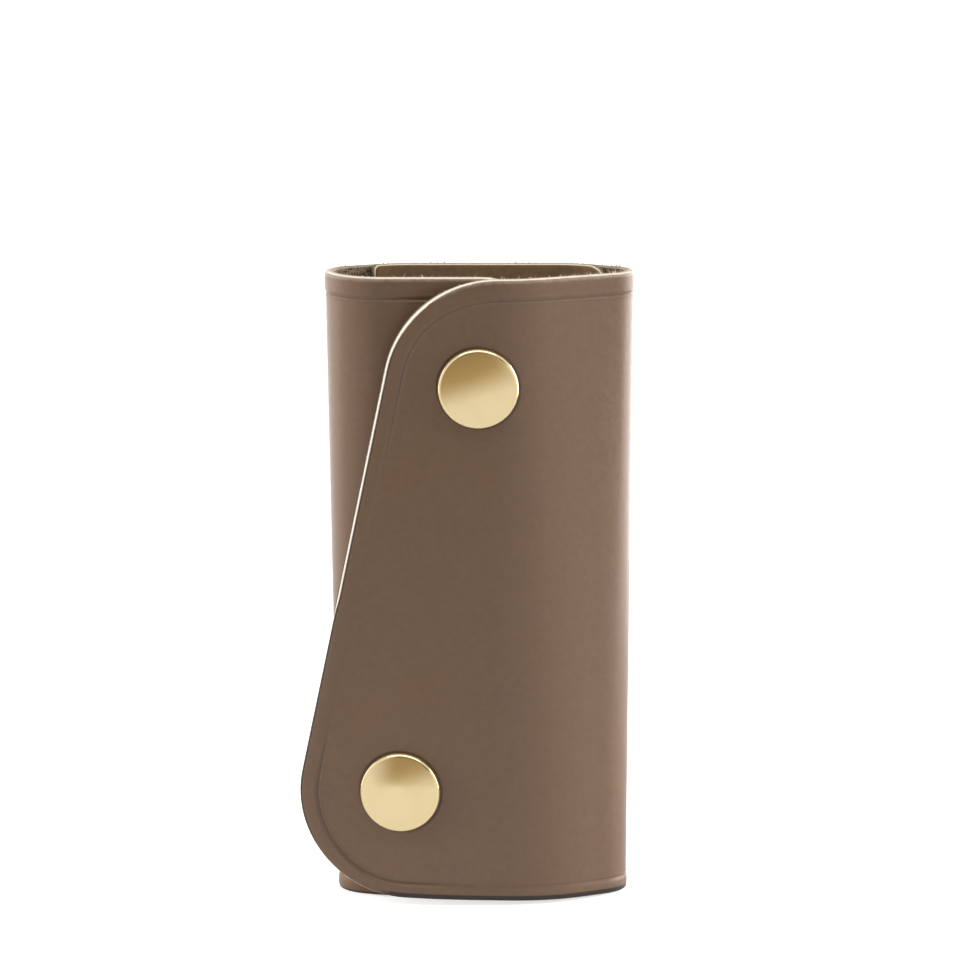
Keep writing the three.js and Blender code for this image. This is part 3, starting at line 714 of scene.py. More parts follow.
class Finishes:
    """All the materials of the case, made once."""

    def __init__(self) -> None:
        """Makes the leathers and the metals."""
        calf = GrainLeather(
            "smooth_taupe_calf",
            "#6f5642",
            warm="#705640",
            worn="#b39f8a",
            pressed="#4d3c30",
            snap_shadows=(UPPER_SNAP, LOWER_SNAP),
        )
        lining = GrainLeather(
            "smooth_brown_lining", "#775a41", warm="#7b5b42", worn="#a58a6d", pressed="#4a3a2c"
        )
        lining_edge = RawCut(
            "raw_cut_lining_edge",
            "#efe3cc",
            loose="#6d6049",
            rubbed="#e3d5bb",
            loose_level=-1.5,
            tight_level=-2.15,
        )
        self.case_grain = calf.material()
        self.liner_grain = lining.material()
        self.cut = RawCut().material()
        self.liner_cut = lining_edge.material()
        self.flesh = FleshSide().material()
        self.brass = StampedMetal("polished_brass", "#e8d3a6", "#dfc797", roughness=0.11).material()
        self.steel = StampedMetal("spring_steel", "#c9c6bf", "#b4afa5", roughness=0.28).material()


def joint_place(name: str) -> Array:
    """Point on the axis of a joint of the frame, in metres."""
    return np.array(next(j["pos_m"] for j in frame["joints"] if j["name"] == name))


def fasten(piece: Piece, body: str, node: str, slot: str) -> None:
    """Lets a piece ride on its body and hides the solid that it stands for.

    Args:
        piece: The piece.
        body: Body of the frame that carries it.
        node: The solid that it stands for.
        slot: Material slot of that solid; not used.
    """
    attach(piece, body)
    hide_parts(node)


@dataclass(frozen=True)
class Bend:
    """A bend of the sheet: how far along it is, how many degrees it turns and over what length."""

    at: float
    turn: float
    spread: float


@dataclass(frozen=True)
class Section:
    """Run of the leather at one height, walked both ways from the middle of the back."""

    back: float
    right: tuple[Bend, ...]
    left: tuple[Bend, ...]
    reach: float = 110.0
    step: float = 0.05

    def walk(self, bends: tuple[Bend, ...]) -> tuple[Array, Array, Array, Array]:
        """Walks one side: each bend turns the heading, eased over its spread, and the steps add up.

        Args:
            bends: The bends of that side.

        Returns:
            Distances walked, and across, forward and heading at each of them.
        """
        run = np.arange(0, self.reach, self.step)

        def heading(distance: Array) -> Array:
            """Sum of the eased bends at a distance, in radians."""
            turns = [b.turn * smoothstep(distance, b.at - b.spread / 2, b.at + b.spread / 2) for b in bends]
            return np.radians(np.sum(turns, axis=0))

        ahead = heading(run + self.step / 2)
        across = np.concatenate([[0], np.cumsum(self.step * np.cos(ahead))[:-1]])
        forward = np.concatenate([[0], np.cumsum(-self.step * np.sin(ahead))[:-1]])
        return run, across, forward, heading(run)

    def place(self, along: Array, depth: Array) -> Array:
        """Plan point at a distance along the sheet and a depth outward from its middle.

        Args:
            along: Distance along the sheet, counted to the right.
            depth: Distance outward from the middle of the leather.

        Returns:
            Across and forward of each point, in the last axis.
        """
        sides = []
        for bends, sign in ((self.left, -1), (self.right, 1)):
            run, across, forward, heading = self.walk(bends)
            distance = np.abs(along)
            angle = np.interp(distance, run, heading)
            x = np.interp(distance, run, across) + depth * np.sin(angle)
            y = np.interp(distance, run, forward) + depth * np.cos(angle)
            sides.append(np.stack([sign * x, y + self.back], axis=-1))
        return np.where((along < 0)[..., None], sides[0], sides[1])


@dataclass(frozen=True)
class WrappedSheet:
    """The bent sheet: straight lines up the leather join its bottom edge to its top rim."""

    height: float = SHEET_HEIGHT
    thickness: float = HIDE_THICKNESS
    wrap_rise: float = 0.025
    right_tip: float = 28.6
    top: Section = Section(
        8.0,
        (Bend(16.5, 22, 8), Bend(28, 131.55, 10), Bend(51.8, 26.45, 14)),
        (Bend(15, 18, 8), Bend(27.2, 103, 10), Bend(34.8, 59, 14)),
    )
    bottom: Section = Section(
        10.0,
        (Bend(19.2, 52, 10), Bend(30.4, 96, 13), Bend(47.1, 30, 18), Bend(66, 10, 14)),
        (Bend(18.2, 50, 10), Bend(29.3, 110, 13), Bend(40.6, 20, 14)),
    )
    offset: tuple[float, float, float] = (0.0, 0.0, 0.0)

    def place(self, along: Array, up: Array, depth: Array) -> Array:
        """Point of the leather in metres: the two sections mixed by height, the outer flap wrapped uphill.

        Args:
            along: Distance along the sheet.
            up: Height on the sheet.
            depth: Distance outward from the middle of the leather.

        Returns:
            Points, three values in the last axis.
        """
        along, up, depth = np.broadcast_arrays(*(np.asarray(v, float) for v in (along, up, depth)))
        low, high = self.bottom.place(along, depth), self.top.place(along, depth)
        plan = low + (high - low) * (up / self.height)[..., None]
        rise = up + self.wrap_rise * np.maximum(0, along - self.right_tip)
        return MM * np.concatenate([plan, rise[..., None]], axis=-1) + np.array(self.offset)


@dataclass(frozen=True)
class Border:
    """Section through the edge of the leather, from the grain side round the cut to the flesh side."""

    width: float
    creased: bool
    roll_in: float = 0.4
    roll_down: float = 0.3
    # Rounding of the under edge, and how many times that inset still counts as the cut.
    under: float = 0.15
    under_slack: float = 1.01
    # The crease's line, its groove and the lips that the creasing iron throws up.
    crease_top: float = 3.75
    crease_bottom: float = 2.65
    crease_end: float = 3.1
    crease_depth: float = 0.11
    crease_outer: float = 0.36
    crease_inner: float = 0.2
    crease_zone: float = 1.2
    lip: float = 0.5
    lip_place: float = 1.9
    swell: float = 0.15
    # Counts of points across the grain side of the section.
    creased_points: tuple[int, ...] = (3, 52, 11)
    plain_points: tuple[int, ...] = (4,)
    # How far the edge's outward normal points along, up or down the sheet before it counts as doing so.
    facing: Pair = (0.2, 0.9)
    upward: Pair = (0.3, 0.9)
    side_on: Pair = (0.75, 0.95)
    downward: Pair = (0.96, 0.995)
    # At the ends the roll is wider; above this height their raw edge is bare and splays out.
    widening: float = 0.5
    widened: Pair = (0.6, 1.4)
    bare: Pair = (49.5, 53.5)
    splay: float = 0.22
    splay_depth: Pair = (0.0, 0.3)
    splay_inset: Pair = (0.15, 0.9)
    # Width of the pale raw edge, and of the dark line beside it, of edge dye and painted shade.
    pale_rim: float = 0.06
    pale_end: float = 0.31
    dye_low: float = 0.42
    dye_high: float = 0.36
    # How far the dark line runs over the pale edge, what share of its width is solid, and more at the lower
    # edge, where it is painted shade.
    dye_bleed: float = -0.08
    dye_solid: float = 0.4
    shade_solid_foot: float = 0.35
    # Depth below the middle of the leather at which the cut lies in full shade.
    shade_depth: float = 0.12

    def samples(self, thickness: float) -> tuple[Array, Array, NDArray]:
        """Points of the section: level face, elliptical roll, straight cut, rounded under edge, flesh face.

        Args:
            thickness: Thickness of the leather.

        Returns:
            Inset from the cut and depth of each point, and which points lie on the grain.
        """
        creases = [self.crease_top + self.crease_zone, self.crease_bottom - self.crease_zone]
        stops = [self.width, *(creases if self.creased else []), self.roll_in]
        counts = self.creased_points if self.creased else self.plain_points
        runs = [np.linspace(a, b, n, endpoint=False) for a, b, n in zip(stops, stops[1:], counts)]
        level = np.concatenate(runs)
        roll = np.radians(np.linspace(90, 0, 9))
        tuck = np.radians(np.linspace(0, 90, 5))
        half = thickness / 2
        cut = np.linspace(half - self.roll_down, self.under - half, 7)[1:-1]
        flesh = np.linspace(self.under, self.width, 6)[1:]
        inset = [level, self.roll_in * (1 - np.cos(roll)), 0 * cut, self.under * (1 - np.cos(tuck)), flesh]
        depth = [
            half + 0 * level,
            half - self.roll_down * (1 - np.sin(roll)),
            cut,
            self.under * (1 - np.sin(tuck)) - half,
            0 * flesh - half,
        ]
        inset, depth = np.concatenate(inset), np.concatenate(depth)
        return inset, depth, np.arange(len(inset)) < len(level) + len(roll)


@dataclass(frozen=True)
class FibreSizes:
    """How loose fibres vary: depths are shares of the thickness, and leans are shares of the length."""

    depth: Pair = (-0.45, 0.3)
    length: Pair = (0.25, 0.8)
    # Fibres on the ends of a panel are shorter by this share.
    end_cut: float = 0.5
    lean: Pair = (-1.0, 1.0)
    radius: Pair = (0.05, 0.09)
    root: float = 0.08
    rings: int = 5
    sides: int = 5


@dataclass
class LeatherPanel:
    """One panel of leather from a seam to a rounded, slanted end, or between two seams if it has no end."""

    name: str
    side: Side
    sheet: WrappedSheet
    seam: float
    reach: float
    slant: float = 0.0
    corners: Pair = (10.0, 10.0)
    low: float = 0.0
    high: float = SHEET_HEIGHT
    middle: float = 0.0
    thickness: float = HIDE_THICKNESS
    grain: GrainSide = GrainSide.OUTWARD
    border: Border = Border(6.0, True)
    open_end: bool = False
    # Spacing of the mesh along the sheet, up it and round its corners.
    column: float = 0.5
    row: float = 1.4
    arc: float = 0.7
    fewest_arcs: int = 8
    fibres: int = 0
    fibre: FibreSizes = FibreSizes()
    fuzzy_from: float = 0.45
    # How deep the crease is pressed along the lower edge, and where it fades out on the slanted end.
    plain_crease: float = 0.4
    low_crease: float = 0.4
    crease_ease: Pair = (0.7, 1.0)
    gap_start: Pair = (0.0, 0.14)
    gap_stop: Pair = (0.65, 1.0)
    gap_fade: float = 0.85
    # Width of the painted shade along the lower edge.
    low_shade: float = 0.42
    draft: MeshDraft = field(default_factory=MeshDraft)

    def columns(self) -> int:
        """Count of the mesh's columns along the sheet."""
        return max(2, round((self.reach - self.seam) / self.column))

    def rows(self, low: float, high: float) -> int:
        """Count of the mesh's rows between two heights."""
        return max(2, round((high - low) / self.row))

    def add(self, along: Array, up: Array, depth: Array, **marks: object) -> NDArray:
        """Adds a grid of flat leather to the draft, bent as the sheet is.

        Args:
            along: Distance from the middle of the back on this panel's side.
            up: Height on the sheet.
            depth: Distance from the middle of this panel's thickness towards its grain.
            **marks: finish, rim, crease and dye of the grid, and whether it wraps.

        Returns:
            Index of each point.
        """
        signed = self.side * along
        level = self.middle + self.grain * depth
        flat = MM * np.stack(np.broadcast_arrays(signed, up, level), axis=-1)
        return self.draft.add_grid(self.sheet.place(signed, up, level), flat=flat, **marks)

    def add_border(self, spine: Array, normal: Array, radius: Array, fade: Array) -> NDArray:
        """Carries the border along a spine: a point is spine + normal (radius - inset).

        The crease is a groove whose depth is a bell curve of the distance from its line, with a low lip on
        both sides, and the strip outside it swells a little as half a sine.

        Args:
            spine: Along and up of the points that the rounded edge is drawn round.
            normal: Unit vectors from the spine to the edge.
            radius: Distance from each point of the spine to the edge.
            fade: How deep the crease is pressed at each point, with 1 for its plain depth.

        Returns:
            Index of each point, points of the spine by points of the border.
        """
        border = self.border
        inset, depth, grain = border.samples(self.thickness)
        edge_up = spine[:, 1] + normal[:, 1] * radius
        aside = np.abs(normal[:, :1])
        share = smoothstep(edge_up, self.low, self.high)[:, None]
        facing = smoothstep(aside, *border.facing)
        line = border.crease_bottom + (border.crease_top - border.crease_bottom) * share
        line = line + (border.crease_end - line) * facing
        widened = 1 + border.widening * facing * (1 - smoothstep(inset, *border.widened))
        inset = inset * widened
        # The crease and the swell shape the grain side.
        offset = inset - line
        offset = offset / np.where(offset < 0, border.crease_outer, border.crease_inner)
        lips = border.lip * np.exp(-((np.abs(offset) - border.lip_place) ** 2))
        groove = (np.exp(-(offset**2)) - lips) * grain * fade[:, None] * border.creased
        swell = np.sin(np.pi * np.clip(inset / line, 0, 1)) * grain * border.creased
        depth = depth + border.swell * swell - border.crease_depth * groove

        # Where the raw edge is bare, its lower half splays out.
        bare_from, bare_to = (self.low + height for height in border.bare)
        bare = facing * smoothstep(edge_up, bare_from, bare_to)[:, None]
        splay = border.splay * bare * smoothstep(-depth, *border.splay_depth)
        splay = splay * (1 - smoothstep(inset, *border.splay_inset))
        plan = spine[:, None] + normal[:, None] * (radius[:, None] - inset + splay * ~grain)[..., None]

        # Marks for the materials: the rubbed upper rim, edge dye and painted shade along the ends, painted
        # shade along the lower edge.
        upper = smoothstep(normal[:, 1:], *border.upward)
        rim = np.where(grain, inset + border.width * (1 - upper), border.width)
        pale = border.pale_rim + (border.pale_end - border.pale_rim) * bare
        down = smoothstep(-normal[:, 1:], *border.downward)
        dyed_and_shaded = np.maximum(smoothstep(aside, *border.side_on), down) * border.creased
        spread = border.dye_low + (border.dye_high - border.dye_low) * bare
        spread = spread + (self.low_shade - spread) * down
        past = inset - pale
        solid = border.dye_solid + border.shade_solid_foot * down
        dye = dyed_and_shaded * smoothstep(past, border.dye_bleed, 0.0) * (1 - smoothstep(past / spread, solid, 1.0))
        # On the cut the mark is painted shade over its lower half.
        dye = np.where(grain, dye, facing * smoothstep(-depth, 0.0, border.shade_depth) * border.creased)

        # The cut's finish starts at the pale rim and ends under the edge.
        inner = np.minimum(inset[:-1, :-1], inset[:-1, 1:])
        outer = np.maximum(inset[:-1, :-1], inset[:-1, 1:])
        face = np.where(grain[1:], np.where(inner >= pale[:-1], Face.GRAIN, Face.CUT), Face.FLESH)
        face = np.where(~grain[1:] & (outer < border.under_slack * border.under), Face.CUT, face)
        marks = {"finish": face, "rim": rim, "crease": np.maximum(groove, 0), "dye": dye}
        return self.add(plan[..., 0], plan[..., 1], depth, **marks)

    def outline(self) -> tuple[Array, Array, Array, Array, slice]:
        """Spine of the rounded edge: along the lower edge, round the end and back along the upper edge.

        Returns:
            Spine points, normals, radii, the crease's fade, and which points belong to the rounded end.
        """
        tilt = math.atan(self.slant)
        corners = np.array(self.corners)
        heights = np.array([self.low + corners[0], self.high - corners[1]])
        half = (self.low + self.high) / 2
        ends = self.reach + self.slant * (half - heights) - corners * math.hypot(1, self.slant)
        arc = max(self.fewest_arcs, round(max(corners) / self.arc))
        line = self.rows(*heights)
        columns = self.columns()
        first, last = np.linspace(-np.pi / 2, tilt, arc), np.linspace(tilt, np.pi / 2, arc)
        lift = np.concatenate([np.zeros(arc), np.linspace(0, 1, line + 1)[1:-1], np.ones(arc)])
        foot, head = np.stack([ends, heights], axis=-1)
        end = foot + (head - foot) * lift[:, None]
        share = np.linspace(0, 1, columns + 1)[:-1]
        lower_run = self.seam + (ends[0] - self.seam) * share
        upper_run = self.seam + (ends[1] - self.seam) * share[::-1]
        lower = np.stack([lower_run, np.full(columns, heights[0])], axis=-1)
        upper = np.stack([upper_run, np.full(columns, heights[1])], axis=-1)
        spine = np.concatenate([lower, end, upper])
        down, up = np.full(columns, -np.pi / 2), np.full(columns, np.pi / 2)
        angle = np.concatenate([down, first, np.full(line - 1, tilt), last, up])
        normal = np.stack([np.cos(angle), np.sin(angle)], axis=-1)
        gap = smoothstep(lift, *self.gap_start) * (1 - smoothstep(lift, *self.gap_stop))
        ease = smoothstep(share, *self.crease_ease)
        foot_fade = self.plain_crease + (self.low_crease - self.plain_crease) * ease
        end_fade = (self.low_crease + (1 - self.low_crease) * lift) * (1 - self.gap_fade * gap)
        fade = np.concatenate([foot_fade, end_fade, np.ones(columns)])
        rounding = corners[0] + (corners[1] - corners[0]) * lift
        radius = np.concatenate([np.full(columns, corners[0]), rounding, np.full(columns, corners[1])])
        return spine, normal, radius, fade, slice(columns, columns + len(end))

    def fill(self, along: Array, up: Array) -> tuple[NDArray, NDArray]:
        """Adds the field inside the border on both faces.

        Args:
            along: Distance from the middle of the back of each point.
            up: Height of each point on the sheet.

        Returns:
            Indices of the grain grid and the flesh grid.
        """
        half = np.full_like(along, self.thickness / 2)
        plain = np.zeros_like(along)
        marks = {"rim": np.full_like(along, self.border.width), "crease": plain, "dye": plain}
        grain = self.add(along, up, half, finish=int(Face.GRAIN), **marks)
        flesh = self.add(along, up, -half, finish=int(Face.FLESH), **marks)
        return grain, flesh

    def build_flap(self) -> None:
        """Builds a panel with a rounded end: its border, a field ruled from the seam, the seam's face."""
        spine, normal, radius, fade, end = self.outline()
        edge = self.add_border(spine, normal, radius, fade)
        inner = spine[end] + normal[end] * (radius[end] - self.border.width)[:, None]
        length = np.concatenate([[0], np.cumsum(np.linalg.norm(np.diff(inner, axis=0), axis=1))])
        seam_up = inner[0, 1] + (inner[-1, 1] - inner[0, 1]) * length / length[-1]
        share = np.linspace(0, 1, end.start + 1)
        along = self.seam + (inner[:, :1] - self.seam) * share
        up = seam_up[:, None] + (inner[:, 1:] - seam_up[:, None]) * share
        grain, flesh = self.fill(along, up)
        ring = [grain[:, 0], edge[-1, 1:], flesh[::-1, 0][1:], edge[0, ::-1][1:-1]]
        self.draft.add_polygon(np.concatenate(ring), Face.CUT)

    def build_strip(self) -> None:
        """Builds a panel between two seams: borders along both edges, a field between, two seam faces."""
        place = np.linspace(self.seam, self.reach, self.columns() + 1)
        radius = np.full_like(place, self.corners[0])
        edges = []
        for edge, direction, fade in ((self.low, -1.0, self.plain_crease), (self.high, 1.0, 1.0)):
            spine = np.stack([place, edge - direction * radius], axis=-1)
            normal = np.stack([0 * place, np.full_like(place, direction)], axis=-1)
            edges.append(self.add_border(spine, normal, radius, np.full_like(place, fade)))
        rows = self.rows(self.low, self.high)
        rise = np.linspace(self.low + self.border.width, self.high - self.border.width, rows)
        along, up = np.meshgrid(place, rise, indexing="ij")
        grain, flesh = self.fill(along, up)
        for i in (0, -1):
            ring = [grain[i], edges[1][i, 1:], flesh[i, ::-1][1:], edges[0][i, ::-1][1:-1]]
            self.draft.add_polygon(np.concatenate(ring), Face.CUT)

    def add_fibres(self) -> None:
        """Adds loose fibres that stand out of the cut edge: bent spikes that thin out to a point.

        At a share t of its length a fibre has moved out by length t and aside by lean t^2, with radius
        (1 - t). The count of fibres is also the seed.
        """
        count, fibre = self.fibres, self.fibre
        draw = np.random.default_rng(count)
        if self.open_end:
            place = draw.uniform(self.seam, self.reach, count)
            edge = np.stack([place, np.full(count, self.high)], axis=-1)
            normal = np.tile([0.0, 1.0], (count, 1))
        else:
            spine, normals, reach, _, end = self.outline()
            height = spine[:, 1] + reach * normals[:, 1]
            upper = np.flatnonzero(height > (self.low + self.high) * self.fuzzy_from)
            pick = draw.choice(upper[upper >= end.start], count)
            normal = normals[pick]
            edge = spine[pick] + normal * reach[pick, None]
        depth = draw.uniform(*fibre.depth, count) * self.thickness
        length = draw.uniform(*fibre.length, count) * (1 - fibre.end_cut * np.abs(normal[:, 0]))
        lean = draw.uniform(*fibre.lean, (count, 2)) * length[:, None]
        radius = draw.uniform(*fibre.radius, count)
        share = np.linspace(0, 1, fibre.rings)[:, None]
        turn = np.linspace(0, 2 * np.pi, fibre.sides, endpoint=False)
        for i in range(count):
            thin = radius[i] * (1 - share)
            aside = lean[i, 0] * share**2 + thin * np.cos(turn)
            out = length[i] * share - fibre.root + 0 * turn
            level = depth[i] + lean[i, 1] * share**2 + thin * np.sin(turn)
            along = edge[i, 0] + normal[i, 0] * out + normal[i, 1] * aside
            up = edge[i, 1] + normal[i, 1] * out - normal[i, 0] * aside
            plain = np.zeros_like(up)
            marks = {"rim": plain, "crease": plain, "dye": plain, "finish": int(Face.CUT), "wrap": True}
            index = self.add(along, up, level, **marks)
            self.draft.add_polygon(index[0], Face.CUT)

    def build(self, materials: list[Material]) -> Piece:
        """Makes the panel as one piece.

        Args:
            materials: Finishes of the grain, the cut and the flesh.

        Returns:
            The piece.
        """
        if self.open_end:
            self.build_strip()
        else:
            self.build_flap()
        self.add_fibres()
        return self.draft.build(self.name, materials)


@dataclass
class CaseLeather:
    """The wrapped sheet in four panels that bend over the four folds, and the lining in two."""

    sheet: WrappedSheet
    parting: float = 23.0
    outer_reach: float = 82.5
    inner_reach: float = 58.4
    slant: float = 0.216
    outer_corners: Pair = (18.2, 20.4)
    inner_corners: Pair = (10.0, 10.0)
    outer_low_crease: float = 1.4
    # Width of the painted shade along the outer flap's lower edge.
    outer_low_shade: float = 1.0
    inner_low_crease: float = 0.15
    inner_crease_ease: Pair = (0.0, 0.2)
    back_zone: float = 3.0
    tip_zone: float = 2.5
    lining_right: float = 22.8
    lining_left: float = 19.0
    lining_right_corners: Pair = (3.2, 3.2)
    lining_left_corners: Pair = (0.9, 0.9)
    lining_front: float = 2.3
    lining_drop: float = 0.8
    lining_proud: float = 0.3
    lining_border: Border = Border(0.45, False, roll_in=0.2, roll_down=0.2, pale_end=0.06)
    glue: float = 0.02
    back_fibres: int = 40
    outer_fibres: int = 150
    inner_fibres: int = 60
    lining_fibres: int = 12

    def lay(
        self, panel: LeatherPanel, skins: list[Material], bodies: tuple[str, str], way: Array
    ) -> Piece:
        """Makes a panel and bakes its place into its mesh.

        Args:
            panel: The panel.
            skins: Finishes of the grain, the cut and the flesh.
            bodies: The bodies before and after the fold; its joint is named for the second.
            way: From the fold's hinge to where the panel follows the second body alone; not used.

        Returns:
            The piece.
        """
        piece = panel.build(skins)
        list(bodies)
        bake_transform(piece)
        return piece

    def build(self, finishes: Finishes) -> None:
        """Makes the four panels of the sheet and hides the solids that they stand for, then the lining.

        Args:
            finishes: The materials.
        """
        hide = [finishes.case_grain, finishes.cut, finishes.flesh]
        across = np.array([self.back_zone * MM, 0, 0])
        forward = np.array([0, -self.tip_zone * MM, 0])
        strip = {"seam": 0.0, "reach": self.parting, "open_end": True, "fibres": self.back_fibres}
        right_back = LeatherPanel("back_leather_right", Side.RIGHT, self.sheet, **strip)
        left_back = LeatherPanel("back_leather_left", Side.LEFT, self.sheet, **strip)
        outer_flap = LeatherPanel(
            "outer_flap_leather",
            Side.RIGHT,
            self.sheet,
            self.parting,
            self.outer_reach,
            self.slant,
            self.outer_corners,
            fibres=self.outer_fibres,
            low_crease=self.outer_low_crease,
            low_shade=self.outer_low_shade,
        )
        inner_flap = LeatherPanel(
            "inner_flap_leather",
            Side.LEFT,
            self.sheet,
            self.parting,
            self.inner_reach,
            -self.slant,
            self.inner_corners,
            fibres=self.inner_fibres,
            low_crease=self.inner_low_crease,
            crease_ease=self.inner_crease_ease,
        )
        folds = (
            (right_back, ("case_back", "right_fold"), across, ("back_panel", "right_fold")),
            (left_back, ("case_back", "left_fold"), -across, ("left_fold",)),
            (outer_flap, ("right_fold", "outer_flap"), forward, ("outer_flap",)),
            (inner_flap, ("left_fold", "inner_flap"), forward, ("inner_flap",)),
        )
        for panel, bodies, way, nodes in folds:
            piece = self.lay(panel, hide, bodies, way)
            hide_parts(*nodes)
        self.build_lining([finishes.liner_grain, finishes.liner_cut, finishes.flesh], across)

    def build_lining(self, skins: list[Material], across: Array) -> None:
        """Makes the two halves of the lining, glued inside the back.

        Args:
            skins: Finishes of the lining's grain, cut and flesh.
            across: From the right fold's hinge to where the lining follows the fold alone.
        """
        back = self.sheet.thickness / 2 + self.glue
        lining = {
            "sheet": self.sheet,
            "seam": 0.0,
            "low": self.lining_drop,
            "high": self.sheet.height + self.lining_proud,
            "middle": -(self.lining_front + back) / 2,
            "thickness": self.lining_front - back,
            "grain": GrainSide.INWARD,
            "border": self.lining_border,
            "fibres": self.lining_fibres,
        }
        right_size = {"reach": self.lining_right, "corners": self.lining_right_corners}
        left_size = {"reach": self.lining_left, "corners": self.lining_left_corners}
        right = LeatherPanel("lining_right", Side.RIGHT, **right_size, **lining)
        left = LeatherPanel("lining_left", Side.LEFT, **left_size, **lining)
        right_skin = self.lay(right, skins, ("case_back", "right_fold"), across)
        self.lay(left, skins, ("case_back", "left_fold"), -across)
        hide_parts("liner")


@dataclass
class SnapFastener:
    """One snap: domed cap, socket and ring spring on the outer flap, stud and rivet on the inner flap."""

    place: str
    along: float
    height: float
    sheet: WrappedSheet
    cap_radius: float = 7.12
    cap_crown: float = 0.3
    cap_shoulder: float = 0.7
    cap_drop: float = 1.12
    cap_sunk: float = 0.04
    # Steps of the cap's rim as it tucks under: inward from the radius, up from the base.
    cap_tuck: tuple[Pair, ...] = ((0.06, 0.16), (0.25, 0.06), (0.7, 0.0))
    cap_sides: int = 160
    sides: int = 96
    socket_radius: float = 4.9
    socket_recess: float = 3.95
    socket_depth: float = 1.45
    socket_lip: float = 3.45
    lip_height: float = 0.3
    bevel_in: float = 0.4
    bevel_up: float = 0.5
    socket_round: float = 0.2
    spring_radius: float = 3.45
    # Half the width and half the height of the spring's wire.
    spring_wire: Pair = (0.3, 0.2)
    stud_flange: float = 4.2
    flange_height: float = 0.45
    flange_sunk: float = 0.25
    flange_bevel: float = 0.2
    flange_edge: float = 0.1
    stud_neck: float = 1.7
    stud_ball: float = 2.1
    # Levels of the ball under the stud's tip: its foot, and the ends of its widest part.
    ball_levels: tuple[float, float, float] = (0.75, 0.45, 0.2)
    ball_bevel: float = 0.4
    stud_round: float = 0.18
    rivet_radius: float = 4.0
    rivet_flat: float = 0.6
    rivet_dish: float = 0.03
    # Steps of the rivet's rim: inward from the radius, up from the disc.
    rivet_rim: tuple[Pair, ...] = ((0.15, 0.2), (0.0, 0.45), (0.2, 0.85))
    rivet_round: float = 0.3

    def spot(self) -> LocalFrame:
        """Frame of the snap: its axis stands square to the outer flap, from the middle of the leather."""
        origin = self.sheet.place(self.along, self.height, 0.0)
        return LocalFrame.about(origin, self.sheet.place(self.along, self.height, 1.0) - origin)

    def levels(self, node: str) -> tuple[float, float]:
        """Lowest and highest level of one of the snap's solids along its axis.

        Args:
            node: Kind of the solid, without the place of the snap.

        Returns:
            The two levels, from the middle of the outer flap's leather.
        """
        mesh = frame["nodes"][f"{node}_{self.place}"].data
        points = np.zeros(3 * len(mesh.vertices), np.float32)
        mesh.vertices.foreach_get("co", points)
        spot = self.spot()
        level = (points.reshape(-1, 3) - spot.origin) @ spot.along / MM
        return float(level.min()), float(level.max())

    def cap_profile(self) -> Array:
        """Half section of the cap: crown as a parabola, shoulder as a quarter ellipse, rim tucked under.

        Returns:
            Radius and level of each point.
        """
        top = self.levels("snap_cap")[1]
        base = self.sheet.thickness / 2 - self.cap_sunk
        flat = self.cap_radius - self.cap_shoulder
        radius = np.linspace(0, flat, 24)
        crown = np.stack([radius, top - self.cap_crown * (radius / flat) ** 2], axis=-1)
        turn = np.radians(np.linspace(0, 90, 14))[1:]
        edge = top - self.cap_crown
        bulge = [flat + self.cap_shoulder * np.sin(turn), edge - self.cap_drop * (1 - np.cos(turn))]
        low = [[self.cap_radius - inward, base + level] for inward, level in self.cap_tuck]
        return np.concatenate([crown, np.stack(bulge, axis=-1), low, [[0, base]]])

    def socket_profile(self) -> Array:
        """Half section of the socket: a cup with an inward lip that holds the spring.

        Returns:
            Radius and level of each point.
        """
        mouth, _ = self.levels("snap_socket")
        floor = mouth + self.socket_depth
        lip = mouth + self.lip_height
        seat = self.sheet.thickness / -2
        corners = [
            [0, floor],
            [self.socket_recess, floor],
            [self.socket_recess, lip],
            [self.socket_lip, lip],
            [self.socket_lip, mouth],
            [self.socket_radius - self.bevel_in, mouth],
            [self.socket_radius, mouth + self.bevel_up],
            [self.socket_radius, seat],
            [0, seat],
        ]
        return filleted(corners, self.socket_round)

    def spring_profile(self) -> Array:
        """Section of the ring spring's wire, an ellipse.

        Returns:
            Radius and level of each point.
        """
        middle = sum(self.levels("snap_spring")) / 2
        wide, high = self.spring_wire
        angle = np.linspace(0, 2 * np.pi, 17)
        return np.stack([self.spring_radius + wide * np.cos(angle), middle + high * np.sin(angle)], axis=-1)

    def stud_profile(self) -> Array:
        """Half section of the stud: a flange, a neck and a ball that the spring snaps over.

        Returns:
            Radius and level of each point.
        """
        base, tip = self.levels("snap_stud")
        sunk, flange = base - self.flange_sunk, base + self.flange_height
        foot, low, high = (tip - level for level in self.ball_levels)
        corners = [
            [0, sunk],
            [self.stud_flange - self.flange_bevel, sunk],
            [self.stud_flange, base + self.flange_edge],
            [self.stud_flange - self.flange_edge, flange],
            [self.stud_neck, flange],
            [self.stud_neck, foot],
            [self.stud_ball, low],
            [self.stud_ball, high],
            [self.stud_ball - self.ball_bevel, tip],
            [0, tip],
        ]
        return filleted(corners, self.stud_round)

    def rivet_profile(self) -> Array:
        """Half section of the stud's rivet: a low dished disc behind the inner flap.

        Returns:
            Radius and level of each point.
        """
        disc, _ = self.levels("stud_rivet")
        flat = [self.rivet_radius * self.rivet_flat, disc + self.rivet_dish]
        rim = [[self.rivet_radius - inward, disc + level] for inward, level in self.rivet_rim]
        return filleted([[0, disc], flat, *rim, [0, rim[-1][1]]], self.rivet_round)

